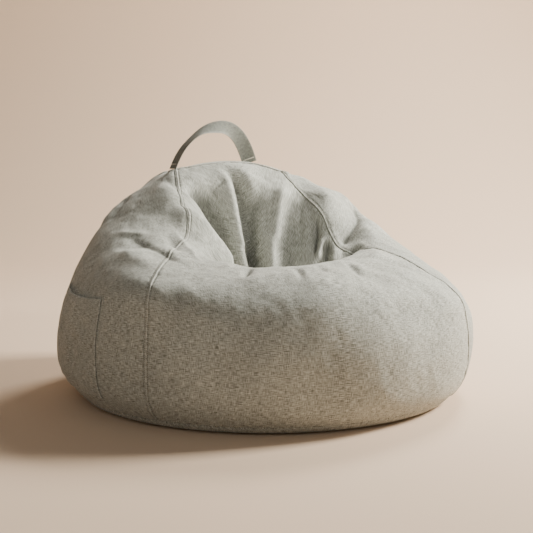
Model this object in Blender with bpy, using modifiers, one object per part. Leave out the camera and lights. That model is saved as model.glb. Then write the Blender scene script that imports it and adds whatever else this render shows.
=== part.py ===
"""Bean bag chair: cover of six panels, inner bag, bead filling, pocket, carry handle and two zips.

Units are metres, +Z is up, the front of the seat faces -Y and the floor is z = 0.
"""

import math

import bpy
import numpy as np
from mathutils import Matrix, Vector

# ---- cover shape -------------------------------------------------------------------------------
BODY_RADIUS = 0.478
BASE_SEAM = (0.438, 0.020)
HAUNCH = (0.470, 0.066)
BELLY = (BODY_RADIUS, 0.145)
FRONT_SEAM_DEG = 51.0
BACK_SEAM_DEG = 126.0
CLOTH = 0.0016
SEAM_GAP = 0.0005
CAP_SEAM_GAP = 0.0036

# One line up the outside of the bag for each bearing from the front, from the belly to the cap seam.
# The right side sits a little lower than the left.
MERIDIANS = {
    -126.0: [
        (-0.370, 0.275, 0.245),
        (-0.336, 0.288, 0.322),
        (-0.294, 0.296, 0.388),
        (-0.256, 0.298, 0.426),
        (-0.226, 0.298, 0.452),
        (-0.198, 0.298, 0.472),
        (-0.170, 0.296, 0.488),
        (-0.142, 0.294, 0.498),
    ],
    -90.0: [
        (-0.460, 0.010, 0.240),
        (-0.402, 0.075, 0.318),
        (-0.350, 0.125, 0.372),
        (-0.310, 0.155, 0.405),
        (-0.272, 0.180, 0.432),
        (-0.236, 0.205, 0.456),
        (-0.200, 0.232, 0.478),
        (-0.163, 0.255, 0.497),
    ],
    -51.0: [
        (-0.362, -0.288, 0.238),
        (-0.340, -0.248, 0.308),
        (-0.270, -0.118, 0.342),
        (-0.226, -0.038, 0.356),
        (-0.184, 0.025, 0.366),
        (-0.172, 0.095, 0.420),
        (-0.160, 0.175, 0.474),
        (-0.147, 0.242, 0.508),
    ],
    -26.0: [
        (-0.203, -0.410, 0.222),
        (-0.190, -0.355, 0.290),
        (-0.165, -0.245, 0.323),
        (-0.128, -0.135, 0.322),
        (-0.092, -0.020, 0.282),
        (-0.085, 0.090, 0.345),
        (-0.075, 0.188, 0.470),
        (-0.078, 0.252, 0.515),
    ],
    0.0: [
        (0.000, -0.462, 0.216),
        (0.000, -0.417, 0.284),
        (0.000, -0.315, 0.326),
        (0.000, -0.190, 0.312),
        (0.000, -0.040, 0.255),
        (0.000, 0.090, 0.318),
        (0.000, 0.195, 0.482),
        (0.000, 0.262, 0.518),
    ],
    26.0: [
        (0.203, -0.410, 0.210),
        (0.190, -0.358, 0.276),
        (0.165, -0.245, 0.322),
        (0.128, -0.132, 0.318),
        (0.092, -0.020, 0.272),
        (0.085, 0.085, 0.325),
        (0.075, 0.180, 0.452),
        (0.070, 0.256, 0.512),
    ],
    51.0: [
        (0.365, -0.288, 0.205),
        (0.343, -0.250, 0.266),
        (0.272, -0.118, 0.326),
        (0.228, -0.038, 0.332),
        (0.190, 0.022, 0.330),
        (0.174, 0.095, 0.402),
        (0.152, 0.180, 0.448),
        (0.131, 0.250, 0.494),
    ],
    90.0: [
        (0.460, 0.010, 0.222),
        (0.402, 0.078, 0.292),
        (0.348, 0.128, 0.350),
        (0.306, 0.158, 0.392),
        (0.266, 0.188, 0.427),
        (0.226, 0.214, 0.453),
        (0.187, 0.240, 0.474),
        (0.148, 0.265, 0.492),
    ],
    126.0: [
        (0.372, 0.275, 0.236),
        (0.336, 0.288, 0.306),
        (0.292, 0.296, 0.372),
        (0.250, 0.298, 0.420),
        (0.214, 0.298, 0.450),
        (0.184, 0.298, 0.470),
        (0.154, 0.296, 0.482),
        (0.127, 0.292, 0.496),
    ],
    180.0: [
        (0.000, 0.468, 0.246),
        (0.000, 0.456, 0.324),
        (0.000, 0.432, 0.394),
        (0.000, 0.412, 0.434),
        (0.000, 0.394, 0.462),
        (0.000, 0.374, 0.484),
        (0.000, 0.352, 0.498),
        (0.000, 0.326, 0.508),
    ],
}
CAP_SEAM_LEVEL = 10.0
CAP_CENTRE = (0.0, 0.286, 0.520)
FLOOR_RADIUS = 0.400
FLOOR_INNER_RADIUS = 0.220
FLOOR_EDGE = (0.424, 0.0065)

FRONT_COLUMNS = 12
SIDE_COLUMNS = 8
BACK_COLUMNS = 12
ROWS = 20
LEAST_LEVEL_STEP = 0.2
BASE_RINGS = [(FLOOR_INNER_RADIUS, 0.0), (FLOOR_RADIUS, 0.0), FLOOR_EDGE]
CAP_SHARES = [0.35, 0.7]
NORMAL_STEP_DEG = 0.4
NORMAL_STEP_LEVEL = 0.1
# a sheet's thickness goes all inwards, or half each way
INWARDS = -1.0
CENTRED = 0.0
INNER_LEVELS = [0.0, 1.0, 2.0, 3.0, 4.0, 5.0, 5.5, 6.0, 6.5, 7.0, 7.5, 8.0, 8.5, 9.0, 9.5, CAP_SEAM_LEVEL]

# ---- inner bag and filling ---------------------------------------------------------------------
LINER_INSET = 0.013
LINER_CLOTH = 0.001
FILL_INSET = 0.0195

# ---- pocket, label -----------------------------------------------------------------------------
POCKET_FROM_DEG = -98.5
POCKET_TO_DEG = -68.5
POCKET_BOTTOM_LEVEL = 0.7
POCKET_TOP_LEVEL = 3.25
POCKET_BULGE = 0.0026
POCKET_BULGE_POWER = 0.6
POCKET_CELLS = 10
POCKET_STAND_OFF = 0.0007
POCKET_CLOTH = 0.0016
POCKET_BARTACK_TURN_DEG = 0.55
POCKET_BARTACK_DROP = 0.05
POCKET_BARTACK_REACH = 0.2
POCKET_BARTACK_SIZE = (0.014, 0.003)
POCKET_BARTACK_STAND_OFF = 0.0006
BARTACK_HEIGHT = 0.0008
BARTACK_BEVEL = 0.0002
LABEL_FROM_DEG = 117.0
LABEL_TO_DEG = 122.0
LABEL_LEVELS = (0.25, 1.05)
LABEL_COLUMNS = 3
LABEL_ROWS = 4
LABEL_CLOTH = 0.0008
LABEL_STAND_OFF = 0.0010

# ---- carry handle ------------------------------------------------------------------------------
STRAP_WIDTH = 0.038
STRAP_THICKNESS = 0.0024
# centre of the webbing, then the direction from its front edge to its back edge
STRAP_PATH = [
    ((-0.151, 0.256, 0.507), (-0.20, 0.96, -0.16)),
    ((-0.136, 0.261, 0.537), (-0.20, 0.96, -0.12)),
    ((-0.109, 0.270, 0.567), (-0.05, 0.99, 0.05)),
    ((-0.078, 0.278, 0.590), (0.12, 0.95, 0.25)),
    ((-0.040, 0.286, 0.602), (0.24, 0.75, 0.60)),
    ((-0.008, 0.293, 0.603), (0.32, 0.52, 0.78)),
    ((0.016, 0.299, 0.594), (0.45, 0.22, 0.85)),
    ((0.036, 0.304, 0.574), (0.78, 0.02, 0.55)),
    ((0.051, 0.308, 0.549), (0.95, -0.08, 0.20)),
    ((0.065, 0.312, 0.513), (0.99, -0.08, -0.10)),
]
STRAP_STEPS = 30
STRAP_FOOT_STEPS = 3
STRAP_CUT = 0.0006
STRAP_BARTACK_SIZE = (0.0304, 0.004)
STRAP_BARTACK_STAND_OFF = 0.0005

# ---- zips --------------------------------------------------------------------------------------
ZIP_WIDTH = 0.0250
ZIP_TAPE_THICKNESS = 0.0010
ZIP_EDGE_GAP = 0.0006
ZIP_CENTRE_GAP = 0.0018
ZIP_TOOTH_LENGTH = 0.0020
ZIP_RAIL_WIDTH = 0.0014
ZIP_TOOTH_THICKNESS = 0.0022
ZIP_TOOTH_PITCH = 0.0080
ZIP_TOOTH_SHARE = 0.42
ZIP_ENDS_DEG = 1.2
ZIP_END_MARGIN_DEG = 0.3
ZIP_LEVEL_STEP = 0.005
OUTER_ZIP_STEPS = 48
LINER_ZIP_STEPS = 24
SLIDER_LENGTH = 0.0150
SLIDER_WIDTH = 0.0110
SLIDER_PLATE = 0.0012
SLIDER_CLEARANCE = 0.0005
SLIDER_WEB = 0.0010
BRIDGE_WIDTH = 0.0022
BRIDGE_BAR = 0.0010
BRIDGE_RISE = 0.0034
BRIDGE_LENGTH = 0.0110
BRIDGE_CORNER = 0.0004
PULL_LENGTH = 0.0300
PULL_WIDTH = 0.0085
PULL_THICKNESS = 0.0012
PULL_EYE_LENGTH = 0.0090
PULL_EYE_WIDTH = 0.0046
PULL_END_BAR = 0.0012
# the pull narrows to these shares of its width at the neck behind the eye and at its tip
PULL_NECK_SHARE = 0.62
PULL_NECK_LENGTH = 0.0016
PULL_TIP_SHARE = 0.66
PULL_TIP_LENGTH = 0.0030
PULL_BEVEL = 0.0002
LINER_PULL_LENGTH = 0.0180
STOP_LENGTH = 0.0040
STOP_WIDTH = 0.0075
STOP_HEIGHT = 0.0032
STOP_CORNER = 0.00064
STOP_MARGIN_DEG = 0.12
GARAGE_LENGTH_DEG = 3.4
GARAGE_THICKNESS = 0.0012
GARAGE_START_DEG = 0.1
GARAGE_STEPS = 4
GARAGE_ACROSS = (-0.009, 0.018)
GARAGE_STAND_OFF = 0.0036
SLIDER_REST_GAP_DEG = 0.4
LINER_ZIP_HALF_SPAN_DEG = 26.0
LINER_SLOT_COLUMNS = 3
LINER_SLOT_LEVELS = (1.33, 1.54)
LINER_ZIP_LEVEL = 1.435
LINER_ZIP_STAND_OFF = 0.0003
LINER_SLIDER_GAP_DEG = 0.3

COLLECTION = "bean_bag_chair"

# colour, roughness, metallic
LINEN = ((0.36, 0.33, 0.28, 1.0), 0.90, 0.0)
WEBBING = ((0.33, 0.31, 0.27, 1.0), 0.88, 0.0)
THREAD = ((0.55, 0.52, 0.45, 1.0), 0.80, 0.0)
LINER_WHITE = ((0.80, 0.79, 0.75, 1.0), 0.75, 0.0)
BEAD_WHITE = ((0.92, 0.92, 0.90, 1.0), 0.60, 0.0)
TAPE_GREY = ((0.30, 0.28, 0.25, 1.0), 0.90, 0.0)
TOOTH_GREY = ((0.34, 0.32, 0.29, 1.0), 0.45, 0.0)
ZIP_METAL = ((0.42, 0.41, 0.39, 1.0), 0.35, 1.0)
LABEL_WHITE = ((0.86, 0.85, 0.82, 1.0), 0.50, 0.0)


# ---- curves and the cover's surface ------------------------------------------------------------
def spline_slopes(xs, ys):
    """Second derivatives of the natural cubic spline through the points."""
    count = len(xs)
    steps = np.diff(xs)
    matrix = np.eye(count)
    right = np.zeros((count,) + ys.shape[1:])
    for i in range(1, count - 1):
        matrix[i, i - 1] = steps[i - 1]
        matrix[i, i] = 2.0 * (steps[i - 1] + steps[i])
        matrix[i, i + 1] = steps[i]
        rise_after = (ys[i + 1] - ys[i]) / steps[i]
        rise_before = (ys[i] - ys[i - 1]) / steps[i - 1]
        right[i] = 6.0 * (rise_after - rise_before)
    return np.linalg.solve(matrix, right.reshape(count, -1)).reshape(right.shape)


def spline_at(xs, ys, bends, x):
    """Value of the cubic spline at x."""
    i = int(np.clip(np.searchsorted(xs, x, side="right") - 1, 0, len(xs) - 2))
    step = xs[i + 1] - xs[i]
    a = (xs[i + 1] - x) / step
    b = (x - xs[i]) / step
    bend = ((a**3 - a) * bends[i] + (b**3 - b) * bends[i + 1]) * step * step / 6.0
    return a * ys[i] + b * ys[i + 1] + bend


def ring_point(radius, height, bearing):
    """Point at a bearing from the front, in degrees towards the right side."""
    turn = math.radians(bearing)
    return (radius * math.sin(turn), -radius * math.cos(turn), height)


def all_meridians():
    """Bearings and their full lines from the base seam up, over three turns so the ends run smooth."""
    turn = []
    for bearing in sorted(MERIDIANS):
        foot = [ring_point(r, z, bearing) for r, z in (BASE_SEAM, HAUNCH, BELLY)]
        turn.append((bearing, np.array(foot + MERIDIANS[bearing])))
    spread = []
    for offset in (-360.0, 0.0, 360.0):
        spread.extend((bearing + offset, line) for bearing, line in turn)
    xs = np.array([pair[0] for pair in spread])
    ys = np.array([pair[1] for pair in spread])
    return xs, ys


BEARINGS, LINES = all_meridians()
LINE_BENDS = spline_slopes(BEARINGS, LINES)
LEVELS = np.arange(LINES.shape[1], dtype=float)


def line_at(bearing):
    """Control line and its bends at one bearing."""
    wrapped = (bearing + 180.0) % 360.0 - 180.0
    points = spline_at(BEARINGS, LINES, LINE_BENDS, wrapped)
    return points, spline_slopes(LEVELS, points)


def cover_point(bearing, level):
    """Point on the outside of the cover; level 0 is the base seam and 10 the cap seam."""
    points, bends = line_at(bearing)
    return spline_at(LEVELS, points, bends, level)


def cover_column(bearing, levels):
    """Points up one bearing."""
    points, bends = line_at(bearing)
    return [spline_at(LEVELS, points, bends, level) for level in levels]


def span(start, end, count):
    """Evenly spaced values, both ends included."""
    return [start + (end - start) * i / count for i in range(count + 1)]


def panel_columns():
    """Bearings of every mesh column once round the bag."""
    front = span(-FRONT_SEAM_DEG, FRONT_SEAM_DEG, FRONT_COLUMNS)
    right = span(FRONT_SEAM_DEG, BACK_SEAM_DEG, SIDE_COLUMNS)
    back = span(BACK_SEAM_DEG, 360.0 - BACK_SEAM_DEG, BACK_COLUMNS)
    left = span(360.0 - BACK_SEAM_DEG, 360.0 - FRONT_SEAM_DEG, SIDE_COLUMNS)
    return front[:-1] + right[:-1] + back[:-1] + left[:-1]


# ---- small mesh helpers ------------------------------------------------------------------------
def collection():
    """Collection that holds the object's pieces."""
    found = bpy.data.collections.get(COLLECTION)
    if found is None:
        found = bpy.data.collections.new(COLLECTION)
        bpy.context.scene.collection.children.link(found)
    return found


def material(name, finish):
    """Plain material with one colour."""
    colour, roughness, metallic = finish
    made = bpy.data.materials.new(name)
    made.use_nodes = True
    shader = made.node_tree.nodes["Principled BSDF"]
    shader.inputs["Base Color"].default_value = colour
    shader.inputs["Roughness"].default_value = roughness
    shader.inputs["Metallic"].default_value = metallic
    return made


def piece(name, points, faces, made_of, smooth=True, origin=(0.0, 0.0, 0.0)):
    """Object from points and faces, with its origin where it turns."""
    mesh = bpy.data.meshes.new(name)
    shift = Vector(origin)
    mesh.from_pydata([Vector(p) - shift for p in points], [], faces)
    mesh.update()
    for face in mesh.polygons:
        face.use_smooth = smooth
    mesh.materials.append(made_of)
    made = bpy.data.objects.new(name, mesh)
    made.location = shift
    collection().objects.link(made)
    return made


def thicken(thing, thickness, offset):
    """Give a sheet its thickness."""
    modifier = thing.modifiers.new("cloth", "SOLIDIFY")
    modifier.thickness = thickness
    modifier.offset = offset
    modifier.use_even_offset = False
    return thing


def grid_faces(columns, rows, wrap=False):
    """Quads of a grid stored column by column, facing outwards for columns that run left to right."""
    faces = []
    for i in range(columns if wrap else columns - 1):
        right = (i + 1) % columns
        for j in range(rows - 1):
            faces.append((i * rows + j, right * rows + j, right * rows + j + 1, i * rows + j + 1))
    return faces


def pull_in_edges(columns, gap):
    """Move the outer edges of a panel's grid inwards along the cloth by the seam gap."""
    moved = [[np.array(p) for p in column] for column in columns]

    def towards(a, b):
        way = b - a
        return a + way * (gap / max(np.linalg.norm(way), gap))

    first = [towards(moved[0][j], moved[1][j]) for j in range(len(moved[0]))]
    last = [towards(moved[-1][j], moved[-2][j]) for j in range(len(moved[0]))]
    moved[0] = first
    moved[-1] = last
    return [
        [towards(column[0], column[1])] + column[1:-1] + [towards(column[-1], column[-2])]
        for column in moved
    ]


# ---- outer cover -------------------------------------------------------------------------------
def gore(name, start, end, count, made_of, first_level=0.0):
    """One upright panel of the cover between two bearings."""
    even = span(0.0, CAP_SEAM_LEVEL, ROWS)
    levels = [first_level] + [level for level in even if level > first_level + LEAST_LEVEL_STEP]
    columns = [cover_column(bearing, levels) for bearing in span(start, end, count)]
    columns = pull_in_edges(columns, SEAM_GAP)
    points = [p for column in columns for p in column]
    made = piece(name, points, grid_faces(count + 1, len(levels)), made_of)
    return thicken(made, CLOTH, INWARDS)


def cap_ring(bearing, share):
    """Point on the top cap; share 0 is the seam and 1 the middle."""
    edge = cover_point(bearing, CAP_SEAM_LEVEL)
    centre = np.array(CAP_CENTRE)
    point = edge + (centre - edge) * share
    crown = 1.0 - (1.0 - share) ** 2
    point[2] = edge[2] + (centre[2] - edge[2]) * crown
    return point


def top_cap(made_of):
    """Small panel that closes the head of the bag."""
    shares = [0.0] + CAP_SHARES
    bearings = panel_columns()
    points = []
    for bearing in bearings:
        column = [cap_ring(bearing, share) for share in shares]
        way = column[1] - column[0]
        column[0] = column[0] + way * (CAP_SEAM_GAP / np.linalg.norm(way))
        points.extend(column)
    faces = grid_faces(len(bearings), len(shares), wrap=True)
    middle = len(points)
    points.append(CAP_CENTRE)
    rows = len(shares)
    for i in range(len(bearings)):
        right = (i + 1) % len(bearings)
        faces.append((i * rows + rows - 1, right * rows + rows - 1, middle))
    return thicken(piece("top_cap", points, faces, made_of), CLOTH, INWARDS)


def base_panel(made_of):
    """Round panel under the bag, turned up at its edge to the base seam."""
    rise = Vector((BASE_SEAM[0] - FLOOR_EDGE[0], BASE_SEAM[1] - FLOOR_EDGE[1])).normalized()
    edge = (BASE_SEAM[0] - rise[0] * SEAM_GAP, BASE_SEAM[1] - rise[1] * SEAM_GAP)
    rings = BASE_RINGS + [edge]
    bearings = panel_columns()
    points = [ring_point(r, z, bearing) for bearing in bearings for r, z in rings]
    faces = grid_faces(len(bearings), len(rings), wrap=True)
    rows = len(rings)
    faces.append(tuple(i * rows for i in range(len(bearings)))[::-1])
    return thicken(piece("base_panel", points, faces, made_of), CLOTH, INWARDS)


def side_pocket(made_of):
    """Patch pocket that stands off the side panel and is open along its top edge."""
    columns = []
    for i, bearing in enumerate(span(POCKET_FROM_DEG, POCKET_TO_DEG, POCKET_CELLS)):
        column = []
        across = math.sin(math.pi * i / POCKET_CELLS)
        for j, level in enumerate(span(POCKET_BOTTOM_LEVEL, POCKET_TOP_LEVEL, POCKET_CELLS)):
            swell = across * (j / POCKET_CELLS) ** POCKET_BULGE_POWER
            out = POCKET_STAND_OFF + POCKET_CLOTH / 2.0 + POCKET_BULGE * swell
            column.append(cover_point(bearing, level) + out_of_cover(bearing, level) * out)
        columns.append(column)
    points = [p for column in columns for p in column]
    rows = POCKET_CELLS + 1
    made = piece("side_pocket", points, grid_faces(rows, rows), made_of)
    return thicken(made, POCKET_CLOTH, CENTRED)


def out_of_cover(bearing, level):
    """Unit direction out of the cover at a point."""
    low = cover_point(bearing, max(level - NORMAL_STEP_LEVEL, 0.0))
    high = cover_point(bearing, min(level + NORMAL_STEP_LEVEL, CAP_SEAM_LEVEL))
    before = cover_point(bearing - NORMAL_STEP_DEG, level)
    after = cover_point(bearing + NORMAL_STEP_DEG, level)
    normal = np.cross(after - before, high - low)
    return normal / np.linalg.norm(normal)


def bartack(name, centre, along, normal, size, made_of):
    """Short raised bar of dense stitches lying on the cloth."""
    length, width = size
    along = Vector(along).normalized()
    normal = Vector(normal).normalized()
    side = normal.cross(along).normalized()
    normal = along.cross(side).normalized()
    points = []
    for k in (0.0, 1.0):
        for a, b in ((-1, -1), (1, -1), (1, 1), (-1, 1)):
            inset = BARTACK_BEVEL * k
            offset = along * a * (length / 2.0 - inset) + side * b * (width / 2.0 - inset)
            points.append(Vector(centre) + offset + normal * BARTACK_HEIGHT * k)
    faces = [(3, 2, 1, 0), (4, 5, 6, 7), (0, 1, 5, 4), (1, 2, 6, 5), (2, 3, 7, 6), (3, 0, 4, 7)]
    return piece(name, points, faces, made_of, smooth=False)


def pocket_bartacks(made_of):
    """Bar-tacks at both ends of the pocket's mouth, just outside its corners."""
    for name, bearing in (
        ("pocket_bartack_front", POCKET_TO_DEG + POCKET_BARTACK_TURN_DEG),
        ("pocket_bartack_back", POCKET_FROM_DEG - POCKET_BARTACK_TURN_DEG),
    ):
        middle = cover_point(bearing, POCKET_TOP_LEVEL - POCKET_BARTACK_DROP)
        top = cover_point(bearing, POCKET_TOP_LEVEL)
        up = top - cover_point(bearing, POCKET_TOP_LEVEL - POCKET_BARTACK_REACH)
        normal = out_of_cover(bearing, POCKET_TOP_LEVEL)
        on_top = middle + normal * POCKET_BARTACK_STAND_OFF
        bartack(name, on_top, up, normal, POCKET_BARTACK_SIZE, made_of)


def care_label(made_of):
    """Blank label sewn into the base seam."""
    columns = []
    for bearing in span(LABEL_FROM_DEG, LABEL_TO_DEG, LABEL_COLUMNS):
        column = []
        for level in span(LABEL_LEVELS[0], LABEL_LEVELS[1], LABEL_ROWS):
            out = LABEL_STAND_OFF + LABEL_CLOTH / 2.0
            column.append(cover_point(bearing, level) + out_of_cover(bearing, level) * out)
        columns.append(column)
    points = [p for column in columns for p in column]
    made = piece("care_label", points, grid_faces(LABEL_COLUMNS + 1, LABEL_ROWS + 1), made_of)
    return thicken(made, LABEL_CLOTH, CENTRED)


# ---- carry handle ------------------------------------------------------------------------------
def strap_samples():
    """Centre and width direction at even steps along the webbing."""
    centres = np.array([station[0] for station in STRAP_PATH])
    widths = np.array([station[1] for station in STRAP_PATH])
    run = np.concatenate([[0.0], np.cumsum(np.linalg.norm(np.diff(centres, axis=0), axis=1))])
    centre_bends = spline_slopes(run, centres)
    width_bends = spline_slopes(run, widths)
    samples = []
    for at in span(0.0, run[-1], STRAP_STEPS):
        centre = spline_at(run, centres, centre_bends, at)
        width = spline_at(run, widths, width_bends, at)
        samples.append((centre, width / np.linalg.norm(width)))
    return samples


def strap_piece(name, samples, made_of, origin):
    """Length of webbing through the samples."""
    points = []
    for centre, width in samples:
        for share in (-0.5, 0.0, 0.5):
            points.append(centre + width * STRAP_WIDTH * share)
    made = piece(name, points, grid_faces(len(samples), 3), made_of, origin=origin)
    return thicken(made, STRAP_THICKNESS, CENTRED)


def trimmed(samples, cut_first, cut_last):
    """Samples with their ends drawn in a little so that neighbours stay apart."""
    kept = [(np.array(c), w) for c, w in samples]
    if cut_first:
        way = kept[1][0] - kept[0][0]
        kept[0] = (kept[0][0] + way / np.linalg.norm(way) * STRAP_CUT, kept[0][1])
    if cut_last:
        way = kept[-2][0] - kept[-1][0]
        kept[-1] = (kept[-1][0] + way / np.linalg.norm(way) * STRAP_CUT, kept[-1][1])
    return kept


def carry_handle(made_of, thread):
    """Webbing arch that swings about the line through the tops of its two sewn feet."""
    samples = strap_samples()
    first = STRAP_FOOT_STEPS
    last = STRAP_STEPS - STRAP_FOOT_STEPS
    hinge = (samples[first][0] + samples[last][0]) / 2.0
    strap_piece("carry_handle", trimmed(samples[first : last + 1], True, True), made_of, hinge)
    strap_piece("handle_foot_left", trimmed(samples[: first + 1], False, True), made_of, samples[0][0])
    strap_piece("handle_foot_right", trimmed(samples[last:], True, False), made_of, samples[-1][0])
    for name, at in (("handle_bartack_left", 1), ("handle_bartack_right", STRAP_STEPS - 1)):
        centre, width = samples[at]
        run = samples[at + 1][0] - samples[at - 1][0]
        normal = np.cross(width, run)
        if normal[1] > 0.0:
            normal = -normal
        normal = normal / np.linalg.norm(normal)
        on_top = centre + normal * (STRAP_THICKNESS / 2.0 + STRAP_BARTACK_STAND_OFF)
        bartack(name, on_top, width, normal, STRAP_BARTACK_SIZE, thread)


# ---- inner bag and filling ---------------------------------------------------------------------
def nested_columns(inset, levels):
    """Grid inside the cover, every point moved in along the surface by the inset."""
    bearings = panel_columns()
    outer = []
    for bearing in bearings:
        column = [np.array(ring_point(r, z, bearing)) for r, z in BASE_RINGS]
        column.extend(cover_column(bearing, levels))
        column.extend(cap_ring(bearing, share) for share in CAP_SHARES)
        outer.append(column)
    outer = np.array(outer)
    across = np.roll(outer, -1, axis=0) - np.roll(outer, 1, axis=0)
    upward = np.gradient(outer, axis=1)
    normals = np.cross(across, upward)
    normals = normals / np.linalg.norm(normals, axis=2, keepdims=True)
    return outer - normals * inset


def bead_fill(made_of):
    """The loose beads as one soft mass."""
    columns = nested_columns(FILL_INSET, INNER_LEVELS)
    rows = columns.shape[1]
    count = columns.shape[0]
    points = [p for column in columns for p in column]
    faces = grid_faces(count, rows, wrap=True)
    bottom = len(points)
    points.append((0.0, 0.0, FILL_INSET))
    top = len(points)
    points.append((CAP_CENTRE[0], CAP_CENTRE[1], CAP_CENTRE[2] - FILL_INSET))
    for i in range(count):
        right = (i + 1) % count
        faces.append((bottom, right * rows, i * rows))
        faces.append((i * rows + rows - 1, right * rows + rows - 1, top))
    return piece("bead_fill", points, faces, made_of)


def liner_levels():
    """Mesh levels of the inner bag, with a pair of them at the edges of its zip slot."""
    return sorted(INNER_LEVELS + list(LINER_SLOT_LEVELS))


def liner_half(name, first, count, side, slot_columns, made_of):
    """Half of the inner bag; side is -1 for the front half and 1 for the back half."""
    levels = liner_levels()
    grid = nested_columns(LINER_INSET, levels)
    total = len(grid)
    columns = [list(grid[(first + i) % total]) for i in range(count + 1)]
    rows = len(columns[0])
    for edge, inner in ((0, 1), (count, count - 1)):
        for j in range(rows):
            way = columns[inner][j] - columns[edge][j]
            columns[edge][j] = columns[edge][j] + way * (SEAM_GAP / np.linalg.norm(way))
    points = [p for column in columns for p in column]
    faces = grid_faces(count + 1, rows)
    slot_row = len(BASE_RINGS) + levels.index(LINER_SLOT_LEVELS[0])
    kept = []
    for index, face in enumerate(faces):
        column = index // (rows - 1)
        row = index % (rows - 1)
        in_slot = row == slot_row and slot_columns[0] <= column < slot_columns[1]
        if not in_slot:
            kept.append(face)
    bottom = len(points)
    points.append((0.0, side * SEAM_GAP, LINER_INSET))
    top = len(points)
    points.append((CAP_CENTRE[0], CAP_CENTRE[1] + side * SEAM_GAP, CAP_CENTRE[2] - LINER_INSET))
    for i in range(count):
        kept.append((bottom, (i + 1) * rows, i * rows))
        kept.append((i * rows + rows - 1, (i + 1) * rows + rows - 1, top))
    return thicken(piece(name, points, kept, made_of), LINER_CLOTH, INWARDS)


def liner(made_of):
    """Inner bag of two halves sewn together, with a slot for its zip low on the back."""
    side_half = SIDE_COLUMNS // 2
    total = FRONT_COLUMNS + 2 * SIDE_COLUMNS + BACK_COLUMNS
    front_count = FRONT_COLUMNS + 2 * side_half
    back_first = FRONT_COLUMNS + side_half
    back_count = total - front_count
    middle = back_count // 2
    slot = (middle - LINER_SLOT_COLUMNS, middle + LINER_SLOT_COLUMNS)
    liner_half("liner_front_half", total - side_half, front_count, -1.0, (0, 0), made_of)
    liner_half("liner_back_half", back_first, back_count, 1.0, slot, made_of)


# ---- zips --------------------------------------------------------------------------------------
class ZipLine:
    """Where a zip runs: a band of a cone about the upright axis, centred on the back."""

    def __init__(self, low, high, half_span):
        self.low = np.array(low)
        self.high = np.array(high)
        self.up = (self.high - self.low) / np.linalg.norm(self.high - self.low)
        self.out = np.array((self.up[1], -self.up[0]))
        self.middle = (self.low + self.high) / 2.0
        self.start = 180.0 - half_span
        self.end = 180.0 + half_span

    def point(self, bearing, across, out):
        """Point on the band: across is up the cloth and out is away from the filling."""
        place = self.middle + self.up * across + self.out * out
        return ring_point(place[0], place[1], bearing)

    def degrees(self, length):
        """Bearing change over a length along the zip."""
        return math.degrees(length / self.middle[0])

    def frame(self, bearing):
        """Matrix from local x along, y up the cloth, z out, to the object's frame."""
        turn = math.radians(bearing)
        along = Vector((math.cos(turn), math.sin(turn), 0.0))
        radial = Vector((math.sin(turn), -math.cos(turn), 0.0))
        up = radial * self.up[0] + Vector((0.0, 0.0, self.up[1]))
        out = radial * self.out[0] + Vector((0.0, 0.0, self.out[1]))
        at = self.point(bearing, 0.0, 0.0)
        return Matrix(
            (
                (along[0], up[0], out[0], at[0]),
                (along[1], up[1], out[1], at[1]),
                (along[2], up[2], out[2], at[2]),
                (0.0, 0.0, 0.0, 1.0),
            )
        )


def tooth_line():
    """Distances from the zip's centre line: tooth tip, rail's inner edge, rail's outer edge."""
    tip = ZIP_CENTRE_GAP / 2.0
    rail = tip + ZIP_TOOTH_LENGTH
    return tip, rail, rail + ZIP_RAIL_WIDTH


def zip_band(name, line, across, out, thickness, bearings, made_of):
    """Strip of cloth along the zip."""
    points = []
    for bearing in bearings:
        points.extend((line.point(bearing, across[0], out), line.point(bearing, across[1], out)))
    made = piece(name, points, grid_faces(len(bearings), 2), made_of)
    return thicken(made, thickness, CENTRED)


def zip_tapes(prefix, line, steps, made_of):
    """Upper and lower tape of a zip."""
    inner = tooth_line()[2] + ZIP_EDGE_GAP
    outer = ZIP_WIDTH / 2.0 - ZIP_EDGE_GAP
    bearings = span(line.start, line.end, steps)
    zip_band(prefix + "_tape_upper", line, (inner, outer), 0.0, ZIP_TAPE_THICKNESS, bearings, made_of)
    zip_band(prefix + "_tape_lower", line, (-outer, -inner), 0.0, ZIP_TAPE_THICKNESS, bearings, made_of)


def zip_teeth(name, line, side, pitch, shift, made_of):
    """One row of moulded teeth on its rail; side is 1 for the upper row and -1 for the lower."""
    step = line.degrees(pitch)
    tooth = step * ZIP_TOOTH_SHARE
    first = line.start + ZIP_ENDS_DEG + shift * step
    count = int((line.end - ZIP_ENDS_DEG - step - first) / step)
    bearings = []
    for i in range(count):
        bearings.extend((first + i * step, first + i * step + tooth))
    distances = tooth_line()
    order = distances if side > 0 else distances[::-1]
    points = []
    for bearing in bearings:
        points.extend(line.point(bearing, side * distance, 0.0) for distance in order)
    tooth_row = 0 if side > 0 else 1
    faces = []
    for index, face in enumerate(grid_faces(len(bearings), 3)):
        column = index // 2
        if index % 2 != tooth_row or column % 2 == 0:
            faces.append(face)
    made = piece(name, points, faces, made_of, smooth=False)
    return thicken(made, ZIP_TOOTH_THICKNESS, CENTRED)


def zip_coil(name, line, side, steps, made_of):
    """Plain coil of the inner bag's fine zip, as one smooth bead."""
    distances = tooth_line()
    across = (side * distances[0], side * distances[2])
    bearings = span(line.start + ZIP_ENDS_DEG, line.end - ZIP_ENDS_DEG, steps)
    low, high = min(across), max(across)
    return zip_band(name, line, (low, high), 0.0, ZIP_TOOTH_THICKNESS, bearings, made_of)


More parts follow.
